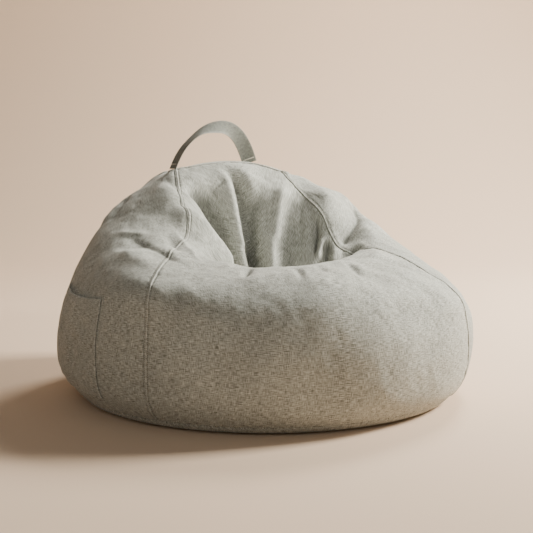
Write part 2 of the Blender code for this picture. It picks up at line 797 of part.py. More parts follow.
def extruded(name, outline, half_depth, swap, frame, made_of, origin):
    """Solid from an outline in local x-z or y-z pushed both ways along the third direction."""
    count = len(outline)
    points = []
    for side in (-half_depth, half_depth):
        for a, b in outline:
            local = Vector((side, a, b)) if swap else Vector((a, side, b))
            points.append(frame @ local)
    faces = [tuple(range(count)), tuple(range(2 * count - 1, count - 1, -1))]
    for i in range(count):
        after = (i + 1) % count
        faces.append((i, i + count, after + count, after))
    if swap:
        faces = [face[::-1] for face in faces]
    return piece(name, points, faces, made_of, smooth=False, origin=origin)


def plate_top():
    """Height of the slider's upper face above the zip's centre surface."""
    return ZIP_TOOTH_THICKNESS / 2.0 + SLIDER_CLEARANCE + SLIDER_PLATE


def zip_slider(name, line, bearing, made_of, guide_of):
    """Slider: two plates joined by a web between the teeth, with a bridge for the pull."""
    frame = line.frame(bearing)
    origin = (0.0, 0.0, line.middle[1])
    half = SLIDER_WIDTH / 2.0
    web = SLIDER_WEB / 2.0
    inside = ZIP_TOOTH_THICKNESS / 2.0 + SLIDER_CLEARANCE
    top = plate_top()
    section = [
        (-half, -top),
        (half, -top),
        (half, -inside),
        (web, -inside),
        (web, inside),
        (half, inside),
        (half, top),
        (-half, top),
        (-half, inside),
        (-web, inside),
        (-web, -inside),
        (-half, -inside),
    ]
    body = extruded(name, section, SLIDER_LENGTH / 2.0, True, frame, made_of, origin)
    reach = BRIDGE_LENGTH / 2.0
    sunk = top - SLIDER_PLATE / 2.0
    arch = [
        (-reach, sunk),
        (-reach + BRIDGE_BAR, sunk),
        (-reach + BRIDGE_BAR, top + BRIDGE_RISE - BRIDGE_BAR),
        (reach - BRIDGE_BAR, top + BRIDGE_RISE - BRIDGE_BAR),
        (reach - BRIDGE_BAR, sunk),
        (reach, sunk),
        (reach, top + BRIDGE_RISE - BRIDGE_CORNER),
        (reach - BRIDGE_BAR, top + BRIDGE_RISE),
        (-reach + BRIDGE_BAR, top + BRIDGE_RISE),
        (-reach, top + BRIDGE_RISE - BRIDGE_CORNER),
    ]
    bridge = extruded(name + "_bridge", arch, BRIDGE_WIDTH / 2.0, False, frame, made_of, origin)
    collection().objects.unlink(bridge)
    guide_of.objects.link(bridge)
    bridge.hide_render = True
    bridge.display_type = "WIRE"
    join = body.modifiers.new("bridge", "BOOLEAN")
    join.operation = "UNION"
    join.solver = "EXACT"
    join.object = bridge
    return body


def pull_pivot(line, bearing):
    """Centre of the pull's end bar under the bridge."""
    middle = plate_top() + (BRIDGE_RISE - BRIDGE_BAR) / 2.0
    return line.frame(bearing) @ Vector((0.0, 0.0, middle))


def zip_pull(name, line, bearing, length, made_of):
    """Pull with an eye round the slider's bridge, lying along the zip."""
    frame = line.frame(bearing)
    middle = plate_top() + (BRIDGE_RISE - BRIDGE_BAR) / 2.0
    bar = PULL_END_BAR / 2.0
    stations = [
        (-bar, 1.0),
        (bar, 1.0),
        (bar + PULL_EYE_LENGTH, 1.0),
        (bar + PULL_EYE_LENGTH + PULL_NECK_LENGTH, PULL_NECK_SHARE),
        (length - PULL_TIP_LENGTH, 1.0),
        (length, PULL_TIP_SHARE),
    ]
    rows = (-PULL_WIDTH / 2.0, -PULL_EYE_WIDTH / 2.0, PULL_EYE_WIDTH / 2.0, PULL_WIDTH / 2.0)
    points = []
    for along, share in stations:
        for row in rows:
            points.append(frame @ Vector((along, row * share, middle)))
    faces = []
    for index, face in enumerate(grid_faces(len(stations), len(rows))):
        in_eye = index == len(rows)
        if not in_eye:
            faces.append(face)
    origin = pull_pivot(line, bearing)
    made = piece(name, points, faces, made_of, smooth=False, origin=origin)
    thicken(made, PULL_THICKNESS, CENTRED)
    edge = made.modifiers.new("edges", "BEVEL")
    edge.width = PULL_BEVEL
    edge.segments = 1
    edge.limit_method = "ANGLE"
    return made


def zip_stop(name, line, bearing, made_of):
    """Small clamp that ends the run of teeth."""
    frame = line.frame(bearing)
    half = STOP_WIDTH / 2.0
    low = -STOP_HEIGHT / 2.0
    high = STOP_HEIGHT / 2.0
    inset = STOP_CORNER
    section = [
        (-half, low + inset),
        (-half + inset, low),
        (half - inset, low),
        (half, low + inset),
        (half, high - inset),
        (half - inset, high),
        (-half + inset, high),
        (-half, high - inset),
    ]
    origin = frame.to_translation()
    return extruded(name, section, STOP_LENGTH / 2.0, True, frame, made_of, origin)


def outer_zip_level():
    """Level on the back panel where the zip's upper edge is."""
    seam = np.array(cover_point(180.0, 0.0))
    level = 0.0
    while np.linalg.norm(cover_point(180.0, level) - seam) < ZIP_WIDTH:
        level += ZIP_LEVEL_STEP
    return level


def outer_zip_line():
    """Band between the base panel and the back panel."""
    low = cover_point(180.0, 0.0)
    high = cover_point(180.0, outer_zip_level())
    half_span = 180.0 - BACK_SEAM_DEG - ZIP_END_MARGIN_DEG
    return ZipLine((low[1], low[2]), (high[1], high[2]), half_span)


def liner_zip_line():
    """Band on the outside of the inner bag, low on the back."""
    centre = cover_point(180.0, LINER_ZIP_LEVEL)
    below = cover_point(180.0, LINER_SLOT_LEVELS[0])
    above = cover_point(180.0, LINER_SLOT_LEVELS[1])
    way = np.array((above[1] - below[1], above[2] - below[2]))
    way = way / np.linalg.norm(way)
    out = np.array((way[1], -way[0]))
    depth = LINER_INSET - ZIP_TAPE_THICKNESS / 2.0 - LINER_ZIP_STAND_OFF
    middle = np.array((centre[1], centre[2])) - out * depth
    half = way * ZIP_WIDTH / 2.0
    return ZipLine(middle - half, middle + half, LINER_ZIP_HALF_SPAN_DEG)


def rest_bearing(line):
    """Where the slider stands with the outer zip closed, just past the garage."""
    return line.start + GARAGE_LENGTH_DEG + line.degrees(SLIDER_LENGTH / 2.0) + SLIDER_REST_GAP_DEG


def outer_zip(tape, teeth, metal, cloth, guides):
    """Moulded zip in the base seam across the back."""
    line = outer_zip_line()
    zip_tapes("outer_zip", line, OUTER_ZIP_STEPS, tape)
    zip_teeth("outer_zip_teeth_upper", line, 1, ZIP_TOOTH_PITCH, 0.0, teeth)
    zip_teeth("outer_zip_teeth_lower", line, -1, ZIP_TOOTH_PITCH, 0.5, teeth)
    bearing = rest_bearing(line)
    zip_slider("outer_zip_slider", line, bearing, metal, guides)
    zip_pull("outer_zip_pull", line, bearing, PULL_LENGTH, metal)
    stop_turn = line.degrees(STOP_LENGTH / 2.0) + STOP_MARGIN_DEG
    zip_stop("outer_zip_top_stop", line, line.start + stop_turn, metal)
    zip_stop("outer_zip_bottom_stop", line, line.end - stop_turn, metal)
    bearings = span(line.start - GARAGE_START_DEG, line.start + GARAGE_LENGTH_DEG, GARAGE_STEPS)
    band = (GARAGE_ACROSS, GARAGE_STAND_OFF, GARAGE_THICKNESS)
    zip_band("outer_zip_garage", line, *band, bearings, cloth)


def liner_zip(tape, teeth, metal, guides):
    """Fine coil zip of the inner bag."""
    line = liner_zip_line()
    zip_tapes("liner_zip", line, LINER_ZIP_STEPS, tape)
    zip_coil("liner_zip_coil_upper", line, 1, LINER_ZIP_STEPS, teeth)
    zip_coil("liner_zip_coil_lower", line, -1, LINER_ZIP_STEPS, teeth)
    reach = line.degrees(SLIDER_LENGTH / 2.0)
    bearing = line.start + ZIP_ENDS_DEG + reach + LINER_SLIDER_GAP_DEG
    zip_slider("liner_zip_slider", line, bearing, metal, guides)
    zip_pull("liner_zip_pull", line, bearing, LINER_PULL_LENGTH, metal)


def guide_collection():
    """Hidden collection for the shapes that are only joined into others."""
    made = bpy.data.collections.new("guides")
    bpy.context.scene.collection.children.link(made)
    return made


def main():
    for thing in list(bpy.data.objects):
        bpy.data.objects.remove(thing, do_unlink=True)
    guides = guide_collection()
    linen = material("linen_cover", LINEN)
    webbing = material("linen_webbing", WEBBING)
    thread = material("thread", THREAD)
    liner_cloth = material("liner_cloth", LINER_WHITE)
    beads = material("polystyrene_beads", BEAD_WHITE)
    tape = material("zip_tape", TAPE_GREY)
    teeth = material("zip_teeth", TOOTH_GREY)
    metal = material("zip_metal", ZIP_METAL)
    label = material("label_satin", LABEL_WHITE)

    gore("front_panel", -FRONT_SEAM_DEG, FRONT_SEAM_DEG, FRONT_COLUMNS, linen)
    gore("right_side_panel", FRONT_SEAM_DEG, BACK_SEAM_DEG, SIDE_COLUMNS, linen)
    back_end = 360.0 - BACK_SEAM_DEG
    gore("back_panel", BACK_SEAM_DEG, back_end, BACK_COLUMNS, linen, outer_zip_level())
    gore("left_side_panel", -BACK_SEAM_DEG, -FRONT_SEAM_DEG, SIDE_COLUMNS, linen)
    top_cap(linen)
    base_panel(linen)
    side_pocket(linen)
    pocket_bartacks(thread)
    care_label(label)
    carry_handle(webbing, thread)
    liner(liner_cloth)
    bead_fill(beads)
    outer_zip(tape, teeth, metal, linen, guides)
    liner_zip(tape, teeth, metal, guides)


main()
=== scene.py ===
import math

import bpy
import numpy as np
from mathutils import Matrix, Vector


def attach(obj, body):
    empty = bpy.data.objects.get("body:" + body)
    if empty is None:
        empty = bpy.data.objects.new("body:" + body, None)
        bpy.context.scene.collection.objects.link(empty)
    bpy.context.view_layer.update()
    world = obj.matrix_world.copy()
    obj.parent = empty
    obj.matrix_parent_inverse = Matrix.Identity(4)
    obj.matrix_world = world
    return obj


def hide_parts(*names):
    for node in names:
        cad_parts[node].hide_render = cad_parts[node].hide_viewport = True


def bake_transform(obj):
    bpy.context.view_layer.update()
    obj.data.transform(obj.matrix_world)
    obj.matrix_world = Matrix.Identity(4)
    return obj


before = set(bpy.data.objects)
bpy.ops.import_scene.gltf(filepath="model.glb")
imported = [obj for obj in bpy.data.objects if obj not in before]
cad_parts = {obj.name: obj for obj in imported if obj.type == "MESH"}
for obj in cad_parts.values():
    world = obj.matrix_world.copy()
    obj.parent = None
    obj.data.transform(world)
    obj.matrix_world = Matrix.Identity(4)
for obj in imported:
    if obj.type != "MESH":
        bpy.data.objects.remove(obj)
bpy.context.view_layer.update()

# Bean bag chair: the looks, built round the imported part. Metres, +Z up, the seat's front faces -Y.

# ---- cover shape, as in the CAD part -----------------------------------------------------------
# A place on the cover is a bearing and a level. The bearing is in degrees from the front towards +X.
# Level -1 is the edge of the floor patch, 0 the base seam, 10 the cap seam and 11 the cap's middle.
BASE_SEAM = (0.438, 0.020)
HAUNCH = (0.470, 0.066)
BELLY = (0.478, 0.145)
FRONT_SEAM = 51.0
BACK_SEAM = 126.0
MERIDIANS = {
    -126.0: [
        (-0.370, 0.275, 0.245), (-0.336, 0.288, 0.322), (-0.294, 0.296, 0.388), (-0.256, 0.298, 0.426),
        (-0.226, 0.298, 0.452), (-0.198, 0.298, 0.472), (-0.170, 0.296, 0.488), (-0.142, 0.294, 0.498),
    ],
    -90.0: [
        (-0.460, 0.010, 0.240), (-0.402, 0.075, 0.318), (-0.350, 0.125, 0.372), (-0.310, 0.155, 0.405),
        (-0.272, 0.180, 0.432), (-0.236, 0.205, 0.456), (-0.200, 0.232, 0.478), (-0.163, 0.255, 0.497),
    ],
    -51.0: [
        (-0.362, -0.288, 0.238), (-0.340, -0.248, 0.308), (-0.270, -0.118, 0.342), (-0.226, -0.038, 0.356),
        (-0.184, 0.025, 0.366), (-0.172, 0.095, 0.420), (-0.160, 0.175, 0.474), (-0.147, 0.242, 0.508),
    ],
    -26.0: [
        (-0.203, -0.410, 0.222), (-0.190, -0.355, 0.290), (-0.165, -0.245, 0.323), (-0.128, -0.135, 0.322),
        (-0.092, -0.020, 0.282), (-0.085, 0.090, 0.345), (-0.075, 0.188, 0.470), (-0.078, 0.252, 0.515),
    ],
    0.0: [
        (0.000, -0.462, 0.216), (0.000, -0.417, 0.284), (0.000, -0.315, 0.326), (0.000, -0.190, 0.312),
        (0.000, -0.040, 0.255), (0.000, 0.090, 0.318), (0.000, 0.195, 0.482), (0.000, 0.262, 0.518),
    ],
    26.0: [
        (0.203, -0.410, 0.210), (0.190, -0.358, 0.276), (0.165, -0.245, 0.322), (0.128, -0.132, 0.318),
        (0.092, -0.020, 0.272), (0.085, 0.085, 0.325), (0.075, 0.180, 0.452), (0.070, 0.256, 0.512),
    ],
    51.0: [
        (0.365, -0.288, 0.205), (0.343, -0.250, 0.266), (0.272, -0.118, 0.326), (0.228, -0.038, 0.332),
        (0.190, 0.022, 0.330), (0.174, 0.095, 0.402), (0.152, 0.180, 0.448), (0.131, 0.250, 0.494),
    ],
    90.0: [
        (0.460, 0.010, 0.222), (0.402, 0.078, 0.292), (0.348, 0.128, 0.350), (0.306, 0.158, 0.392),
        (0.266, 0.188, 0.427), (0.226, 0.214, 0.453), (0.187, 0.240, 0.474), (0.148, 0.265, 0.492),
    ],
    126.0: [
        (0.372, 0.275, 0.236), (0.336, 0.288, 0.306), (0.292, 0.296, 0.372), (0.250, 0.298, 0.420),
        (0.214, 0.298, 0.450), (0.184, 0.298, 0.470), (0.154, 0.296, 0.482), (0.127, 0.292, 0.496),
    ],
    180.0: [
        (0.000, 0.468, 0.246), (0.000, 0.456, 0.324), (0.000, 0.432, 0.394), (0.000, 0.412, 0.434),
        (0.000, 0.394, 0.462), (0.000, 0.374, 0.484), (0.000, 0.352, 0.498), (0.000, 0.326, 0.508),
    ],
}
CAP_LEVEL = 10.0
LAST_OUT = 10.9  # the cap's middle has no outward direction of its own, so this level's is used
CAP_CENTRE = np.array((0.0, 0.286, 0.520))
FLOOR_RADIUS = 0.400
FLOOR_EDGE = (0.424, 0.0065)
CLOTH = 0.0016
ZIP_WIDTH = 0.0250

# ---- the dense grid that every piece is cut from -----------------------------------------------
GRID_BEARINGS = 720
FIRST_LEVEL = -1.0
LAST_LEVEL = 11.0
LEVEL_STEP = 0.04
GRID_LEVELS = int(round((LAST_LEVEL - FIRST_LEVEL) / LEVEL_STEP)) + 1
BEARINGS = np.arange(GRID_BEARINGS) * 360.0 / GRID_BEARINGS - 180.0
LEVELS = FIRST_LEVEL + np.arange(GRID_LEVELS) * LEVEL_STEP


# ---- splines and lookups -----------------------------------------------------------------------
def bend_solver(xs):
    """Matrix from a natural spline's values to its second derivatives."""
    count = len(xs)
    steps = np.diff(xs)
    left = np.eye(count)
    right = np.zeros((count, count))
    for i in range(1, count - 1):
        left[i, i - 1] = steps[i - 1]
        left[i, i] = 2.0 * (steps[i - 1] + steps[i])
        left[i, i + 1] = steps[i]
        right[i, i - 1] = 6.0 / steps[i - 1]
        right[i, i] = -6.0 / steps[i] - 6.0 / steps[i - 1]
        right[i, i + 1] = 6.0 / steps[i]
    return np.linalg.solve(left, right)


def spline_matrix(xs, at):
    """Matrix from a natural spline's values at xs to its values at other places."""
    xs = np.asarray(xs, float)
    at = np.asarray(at, float)
    i = np.clip(np.searchsorted(xs, at, side="right") - 1, 0, len(xs) - 2)
    step = xs[i + 1] - xs[i]
    a = (xs[i + 1] - at) / step
    b = 1.0 - a
    rows = np.arange(len(at))
    direct = np.zeros((len(at), len(xs)))
    direct[rows, i] = a
    direct[rows, i + 1] = b
    bends = np.zeros((len(at), len(xs)))
    bends[rows, i] = (a**3 - a) * step * step / 6.0
    bends[rows, i + 1] = (b**3 - b) * step * step / 6.0
    return direct + bends @ bend_solver(xs)


def unit(ways):
    """Directions at unit length."""
    return ways / np.linalg.norm(ways, axis=-1, keepdims=True)


def run_along(line):
    """Length of a line of points up to each of them."""
    return np.concatenate([[0.0], np.cumsum(np.linalg.norm(np.diff(line, axis=0), axis=1))])


def smooth_path(points, count):
    """Points at even spline steps through a few given ones."""
    points = np.asarray(points, float)
    run = run_along(points)
    return spline_matrix(run, np.linspace(0.0, run[-1], count)) @ points


def ring(radius, height, bearings):
    """Points round the upright axis."""
    turn = np.radians(bearings)
    return np.stack([radius * np.sin(turn), -radius * np.cos(turn), height + 0.0 * turn], axis=-1)


def smooth_cover():
    """The cover without folds, as points for every bearing and level of the grid."""
    turn = []
    for bearing in sorted(MERIDIANS):
        foot = [ring(r, z, bearing) for r, z in (BASE_SEAM, HAUNCH, BELLY)]
        line = np.array(foot + [np.array(p) for p in MERIDIANS[bearing]])
        turn.append((bearing, line))
    spread = [(b + lap, line) for lap in (-360.0, 0.0, 360.0) for b, line in turn]
    lines = np.array([line for _, line in spread])
    across = spline_matrix([b for b, _ in spread], BEARINGS)
    sides = (LEVELS >= -1e-9) & (LEVELS <= CAP_LEVEL + 1e-9)
    upward = spline_matrix(np.arange(lines.shape[1]), np.clip(LEVELS[sides], 0.0, CAP_LEVEL))
    wall = np.einsum("bk,kld,rl->brd", across, lines, upward)
    below = LEVELS[LEVELS < -1e-9]
    radii = np.interp(below, (-1.0, -0.5, 0.0), (FLOOR_RADIUS, FLOOR_EDGE[0], BASE_SEAM[0]))
    heights = np.interp(below, (-1.0, -0.5, 0.0), (0.0, FLOOR_EDGE[1], BASE_SEAM[1]))
    skirt = np.stack([ring(r, z, BEARINGS) for r, z in zip(radii, heights)], axis=1)
    shares = LEVELS[LEVELS > CAP_LEVEL + 1e-9] - CAP_LEVEL
    edge = wall[:, -1][:, None, :]
    cap = edge + (CAP_CENTRE - edge) * shares[None, :, None]
    crown = 1.0 - (1.0 - shares) ** 2
    cap[:, :, 2] = edge[:, :, 2] + (CAP_CENTRE[2] - edge[:, :, 2]) * crown
    return np.concatenate([skirt, wall, cap], axis=1)


def grid_normals(points, wrap=True):
    """Unit normals of a grid of points, outwards."""
    if wrap:
        across = np.roll(points, -1, axis=0) - np.roll(points, 1, axis=0)
    else:
        across = np.gradient(points, axis=0)
    normals = np.cross(across, np.gradient(points, axis=1))
    size = np.linalg.norm(normals, axis=2, keepdims=True)
    return normals / np.maximum(size, 1e-12)


def cover_normals(points):
    """Normals of the whole cover; the cap's middle is a single point that looks up."""
    normals = grid_normals(points)
    normals[:, -1] = (0.0, 0.0, 1.0)
    return normals


def cubic_weights(f):
    """Weights of the four neighbours in a smooth lookup."""
    f2 = f * f
    f3 = f2 * f
    return (
        -0.5 * f3 + f2 - 0.5 * f,
        1.5 * f3 - 2.5 * f2 + 1.0,
        -1.5 * f3 + 2.0 * f2 + 0.5 * f,
        0.5 * f3 - 0.5 * f2,
    )


def look_up(grid, bearing, level):
    """Smooth value of a dense grid at bearings and levels."""
    count, rows = grid.shape[:2]
    bearing, level = np.broadcast_arrays(np.asarray(bearing, float), np.asarray(level, float))
    x = (bearing + 180.0) * count / 360.0
    y = np.clip((level - FIRST_LEVEL) / LEVEL_STEP, 0.0, rows - 1.0)
    i = np.floor(x).astype(int)
    j = np.minimum(np.floor(y).astype(int), rows - 2)
    wx = cubic_weights(x - i)
    wy = cubic_weights(y - j)
    total = 0.0
    for a in range(4):
        column = (i + a - 1) % count
        for b in range(4):
            value = grid[column, np.clip(j + b - 1, 0, rows - 1)]
            weight = wx[a] * wy[b]
            total = total + (value * weight[..., None] if grid.ndim == 3 else value * weight)
    return total


def smoothstep(x):
    """0 to 1 with level ends."""
    x = np.clip(x, 0.0, 1.0)
    return x * x * (3.0 - 2.0 * x)


def blur(field, across, upward):
    """Gaussian blur of a scalar grid, by grid steps, that wraps round the bag."""
    reach = int(3 * across)
    weights = bell_weights(across, reach)
    done = sum(w * np.roll(field, s, axis=0) for w, s in zip(weights, range(-reach, reach + 1)))
    reach = int(3 * upward)
    padded = np.pad(done, ((0, 0), (reach, reach)), mode="edge")
    rows = field.shape[1]
    return sum(w * padded[:, s : s + rows] for w, s in zip(bell_weights(upward, reach), range(2 * reach + 1)))


def bell_weights(width, reach):
    """Weights of a bell curve that add up to 1."""
    weights = np.exp(-0.5 * (np.arange(-reach, reach + 1) / width) ** 2)
    return weights / weights.sum()


# ---- folds -------------------------------------------------------------------------------------
# Each fold: its path as (bearing, level) places, its height out of the cover (a crease is negative),
# its width on the left and right of the path, how sharp it is (2 is round, 1 is a crease), and how
# much of its length it takes to rise and to fade, as one number where the two are the same.
def fold(path, height, left, right=None, sharp=2.0, ease=0.25):
    widths = (left, left if right is None else right)
    ease = ease if isinstance(ease, tuple) else (ease, ease)
    return {"path": path, "height": height, "widths": widths, "sharp": sharp, "ease": ease}


FOLDS = [
    # left arm: it swells over the seat in a lobe with a steep inner side
    fold([(-62, 7.7), (-50, 7.95), (-38, 7.9), (-28, 7.75), (-21, 7.3)],
         0.024, 0.010, 0.044, ease=(0.3, 0.2)),
    fold([(-48, 8.8), (-36, 8.68), (-28, 8.42), (-22, 8.2), (-18, 7.7), (-14, 7.1)],
         -0.048, 0.030, 0.011, 1.6, (0.2, 0.25)),
    fold([(-40, 7.6), (-34, 7.0), (-29, 6.2)], -0.005, 0.010, 0.014, 1.6, 0.4),
    # crest between the left arm and the crown, with slack cloth behind it
    fold([(-76, 9.05), (-66, 8.8), (-57, 8.5), (-50, 8.2)], 0.006, 0.012, 0.034, ease=0.3),
    fold([(-74, 9.6), (-65, 9.3), (-58, 9.0), (-53, 8.8)], -0.004, 0.012, 0.014, 1.5, 0.3),
    fold([(-92, 9.3), (-82, 9.2), (-72, 9.35)], -0.003, 0.008, 0.010, 1.5, 0.4),
    # middle of the back: a ridge with a sharp edge, and the creases that meet low in the hollow
    fold([(-26, 9.45), (-15, 9.12), (-9, 8.95), (-6.5, 8.6), (-5.5, 8.3), (-4, 7.9), (-2, 7.2)],
         0.014, 0.018, 0.026, 1.8, 0.25),
    fold([(-18, 9.5), (-7, 9.08), (-3.5, 8.8), (-2, 8.5), (-1, 8.2), (0, 7.8), (0.5, 7.2)],
         -0.036, 0.021, 0.013, 1.5, 0.25),
    fold([(18, 8.95), (10, 8.65), (5, 8.4), (1.5, 8.1), (-0.5, 7.8), (-1, 7.2)],
         -0.022, 0.013, 0.019, 1.7, (0.3, 0.2)),
    fold([(14, 9.3), (10, 9.0), (5, 8.85)], 0.005, 0.018, ease=0.4),
    # right of the middle: a long ridge from the crown and its soft far side
    fold([(48, 9.55), (34, 8.96), (28, 8.64), (21, 8.24), (12, 7.84), (8, 7.2)],
         0.015, 0.017, 0.020, 1.9, 0.25),
    fold([(41, 9.05), (32, 8.6), (26, 8.3), (22, 7.9), (18, 7.2)], -0.008, 0.028, 0.016, 1.6, (0.3, 0.25)),
    fold([(45, 8.8), (38, 8.25), (31, 7.75)], -0.0035, 0.008, sharp=1.6, ease=0.4),
    fold([(50, 8.6), (44, 8.15), (38, 7.8)], -0.003, 0.007, sharp=1.6, ease=0.4),
    # pockets of slack cloth where the back meets the right arm
    fold([(48, 8.15), (43, 7.8), (40, 7.6), (36, 7.3)], -0.013, 0.008, 0.010, 1.5, 0.3),
    fold([(46, 7.65), (41, 7.4), (37, 7.15)], 0.007, 0.008, ease=0.3),
    fold([(48, 7.45), (43, 7.25), (39, 7.05), (35, 6.8)], -0.019, 0.012, 0.011, 1.6, 0.3),
    fold([(50, 6.98), (45, 6.9), (40, 6.75)], 0.006, 0.009, ease=0.3),
    fold([(38, 6.35), (45, 6.5), (50, 6.4), (55, 6.0)], -0.015, 0.016, 0.014, 1.7, 0.35),
    fold([(30, 5.2), (41, 5.3), (50, 5.25)], 0.007, 0.022, ease=0.35),
    # right arm: a shoulder, and the crease that runs from the seam's corner to the far edge
    fold([(56, 7.9), (72, 7.45), (92, 7.1), (108, 7.0)], 0.009, 0.050, 0.034, ease=0.35),
    fold([(52, 6.97), (62, 6.8), (76, 6.48), (90, 6.35), (100, 6.35)],
         -0.014, 0.012, 0.010, 1.3, (0.12, 0.35)),
    fold([(58, 6.2), (74, 5.95), (90, 5.8)], 0.009, 0.034, ease=0.35),
    # left side: bright ridge, the crease under it and the thin crest that crosses the seam
    fold([(-84, 5.05), (-74, 5.5), (-64, 5.95)], 0.006, 0.024, 0.009, 1.7, 0.35),
    fold([(-78, 5.1), (-69, 5.3), (-59, 5.17), (-51, 5.05), (-43, 4.75)],
         -0.006, 0.008, 0.017, 1.4, 0.3),
    fold([(-76, 4.65), (-62, 4.6), (-50, 4.45)], 0.007, 0.024, ease=0.35),
    fold([(-60, 6.95), (-55, 6.65), (-48, 6.2), (-41, 5.6), (-36, 5.2)],
         0.006, 0.011, 0.007, 1.5, (0.3, 0.35)),
    fold([(-60, 6.5), (-52, 5.95), (-45, 5.4)], -0.006, 0.010, 0.014, 1.6, 0.35),
    # front lip: soft notch and dimples along its crest
    fold([(-30, 5.3), (-25, 5.35)], 0.005, 0.012, ease=0.4),
    fold([(-23, 4.6), (-21, 5.05), (-19, 5.5)], -0.010, 0.007, 0.010, 1.4, 0.35),
    fold([(-7, 4.5), (-5.5, 4.95), (-4.5, 5.4)], -0.007, 0.009, ease=0.4),
    fold([(2, 4.7), (2.5, 5.1), (3, 5.5)], -0.003, 0.008, ease=0.4),
    fold([(13, 4.6), (15, 5.0), (16, 5.4)], -0.008, 0.010, ease=0.4),
    fold([(-45, 4.2), (-43, 3.6), (-40, 3.2)], -0.003, 0.020, ease=0.4),
    fold([(33, 4.3), (35, 3.8), (36, 3.3)], -0.003, 0.020, ease=0.4),
    # back and far side, where the weight pulls the cloth into long slack folds
    fold([(104, 5.6), (112, 5.1), (121, 4.5)], -0.008, 0.016, 0.010, 1.5),
    fold([(140, 7.4), (152, 6.4), (160, 5.2)], -0.009, 0.012, 0.020, 1.5),
    fold([(144, 7.7), (156, 6.8), (166, 5.6)], 0.006, 0.020),
    fold([(-166, 7.8), (-172, 6.6), (-176, 5.2)], -0.008, 0.018, 0.011, 1.5),
    fold([(-140, 7.2), (-150, 6.2), (-154, 5.0)], -0.009, 0.012, 0.020, 1.5),
    fold([(-112, 7.2), (-103, 6.3), (-97, 5.3)], -0.009, 0.010, 0.018, 1.5),
    fold([(-118, 6.8), (-110, 5.9), (-105, 5.0)], 0.006, 0.020),
    fold([(174, 8.9), (160, 8.6), (148, 8.7)], -0.006, 0.009, sharp=1.5),
    fold([(-150, 8.6), (-164, 8.4), (-176, 8.7)], -0.006, 0.009, sharp=1.5),
    fold([(132, 4.2), (146, 3.9), (162, 4.3)], -0.006, 0.022),
    fold([(-134, 4.0), (-148, 4.2), (-160, 3.8)], -0.006, 0.022),
]
FOLD_STEPS = 28
FOLD_REACH = 3.2
# Slack of the cloth: shortest and longest wave, number of waves, height low on the bag, more above.
SLACK = (
    ((0.16, 0.30), 14, 0.0014, 0.0),
    ((0.060, 0.110), 30, 0.0006, 0.0007),
    ((0.028, 0.050), 40, 0.00025, 0.0002),
)
SLACK_SEED = 11
UPPER_START, UPPER_RISE = 3.0, 2.5
CROWN_FADE, CROWN_SHARE = 0.6, 0.25
# The cover stays smooth by the base seam, up to a level that is higher over the zip.
STILL_LEVEL, STILL_BY_ZIP, STILL_RISE, STILL_FADE_DEG = 0.15, 0.55, 1.1, 12.0


def fold_height(cover, normals, one):
    """Height that one fold adds at every place of the grid."""
    places = smooth_path(one["path"], FOLD_STEPS)
    line = look_up(cover, places[:, 0], places[:, 1])
    reach = FOLD_REACH * max(one["widths"])
    low = line.min(axis=0) - reach
    high = line.max(axis=0) + reach
    near = np.all((cover > low) & (cover < high), axis=2)
    points = cover[near]
    out = normals[near]
    starts = line[:-1]
    ways = np.diff(line, axis=0)
    lengths = np.linalg.norm(ways, axis=1)
    run = np.concatenate([[0.0], np.cumsum(lengths)]) / lengths.sum()
    gap = points[:, None, :] - starts[None]
    along = np.clip(np.einsum("psd,sd->ps", gap, ways) / lengths**2, 0.0, 1.0)
    off = gap - along[..., None] * ways[None]
    far = np.linalg.norm(off, axis=2)
    best = far.argmin(axis=1)
    rows = np.arange(len(points))
    distance = far[rows, best]
    way = ways[best] / lengths[best][:, None]
    side = np.einsum("pd,pd->p", np.cross(out, way), off[rows, best])
    share = run[best] + along[rows, best] * (run[best + 1] - run[best])
    left, right = one["widths"]
    width = np.where(side > 0.0, left, right)
    profile = np.exp(-((distance / width) ** one["sharp"]))
    rise, fade = one["ease"]
    ends = smoothstep(share / rise) * smoothstep((1.0 - share) / fade)
    heights = np.zeros(cover.shape[:2])
    heights[near] = one["height"] * profile * ends
    return heights


def ripple(points, wavelengths, count, random):
    """Smooth noise of unit size from plane waves of many directions."""
    total = np.zeros(points.shape[:-1])
    for _ in range(count):
        way = random.normal(size=3)
        way = way / np.linalg.norm(way)
        wavelength = random.uniform(*wavelengths)
        phase = random.uniform(0.0, 2.0 * math.pi)
        total += np.cos(points @ way * (2.0 * math.pi / wavelength) + phase)
    return total / math.sqrt(count / 2.0)


def zip_clearance():
    """1 where the cover is free to move and 0 along the base seam and next to the zip."""
    turn = np.abs(np.mod(BEARINGS, 360.0) - 180.0)
    by_zip = 1.0 - smoothstep((turn - (180.0 - BACK_SEAM)) / STILL_FADE_DEG)
    start = STILL_LEVEL + STILL_BY_ZIP * by_zip
    return smoothstep((LEVELS[None, :] - start[:, None]) / STILL_RISE)


def cover_heights(cover, normals):
    """How far the slack cloth stands out of, or sinks into, the smooth cover."""
    random = np.random.default_rng(SLACK_SEED)
    total = sum(fold_height(cover, normals, one) for one in FOLDS)
    upper = smoothstep((LEVELS[None, :] - UPPER_START) / UPPER_RISE)
    for waves, count, height, more in SLACK:
        total = total + (height + more * upper) * ripple(cover, waves, count, random)
    crown = smoothstep((CAP_LEVEL - LEVELS[None, :]) / CROWN_FADE)
    return total * zip_clearance() * (CROWN_SHARE + (1.0 - CROWN_SHARE) * crown)


COVER = smooth_cover()
COVER_OUT = cover_normals(COVER)
HEIGHTS = cover_heights(COVER, COVER_OUT)
SHAPE = COVER + COVER_OUT * HEIGHTS[..., None]
SHAPE_OUT = cover_normals(SHAPE)


def at(bearing, level):
    """Point on the folded cover."""
    return look_up(SHAPE, bearing, level)


def facing(bearing, level):
    """Unit direction out of the folded cover."""
    return unit(look_up(SHAPE_OUT, bearing, level))


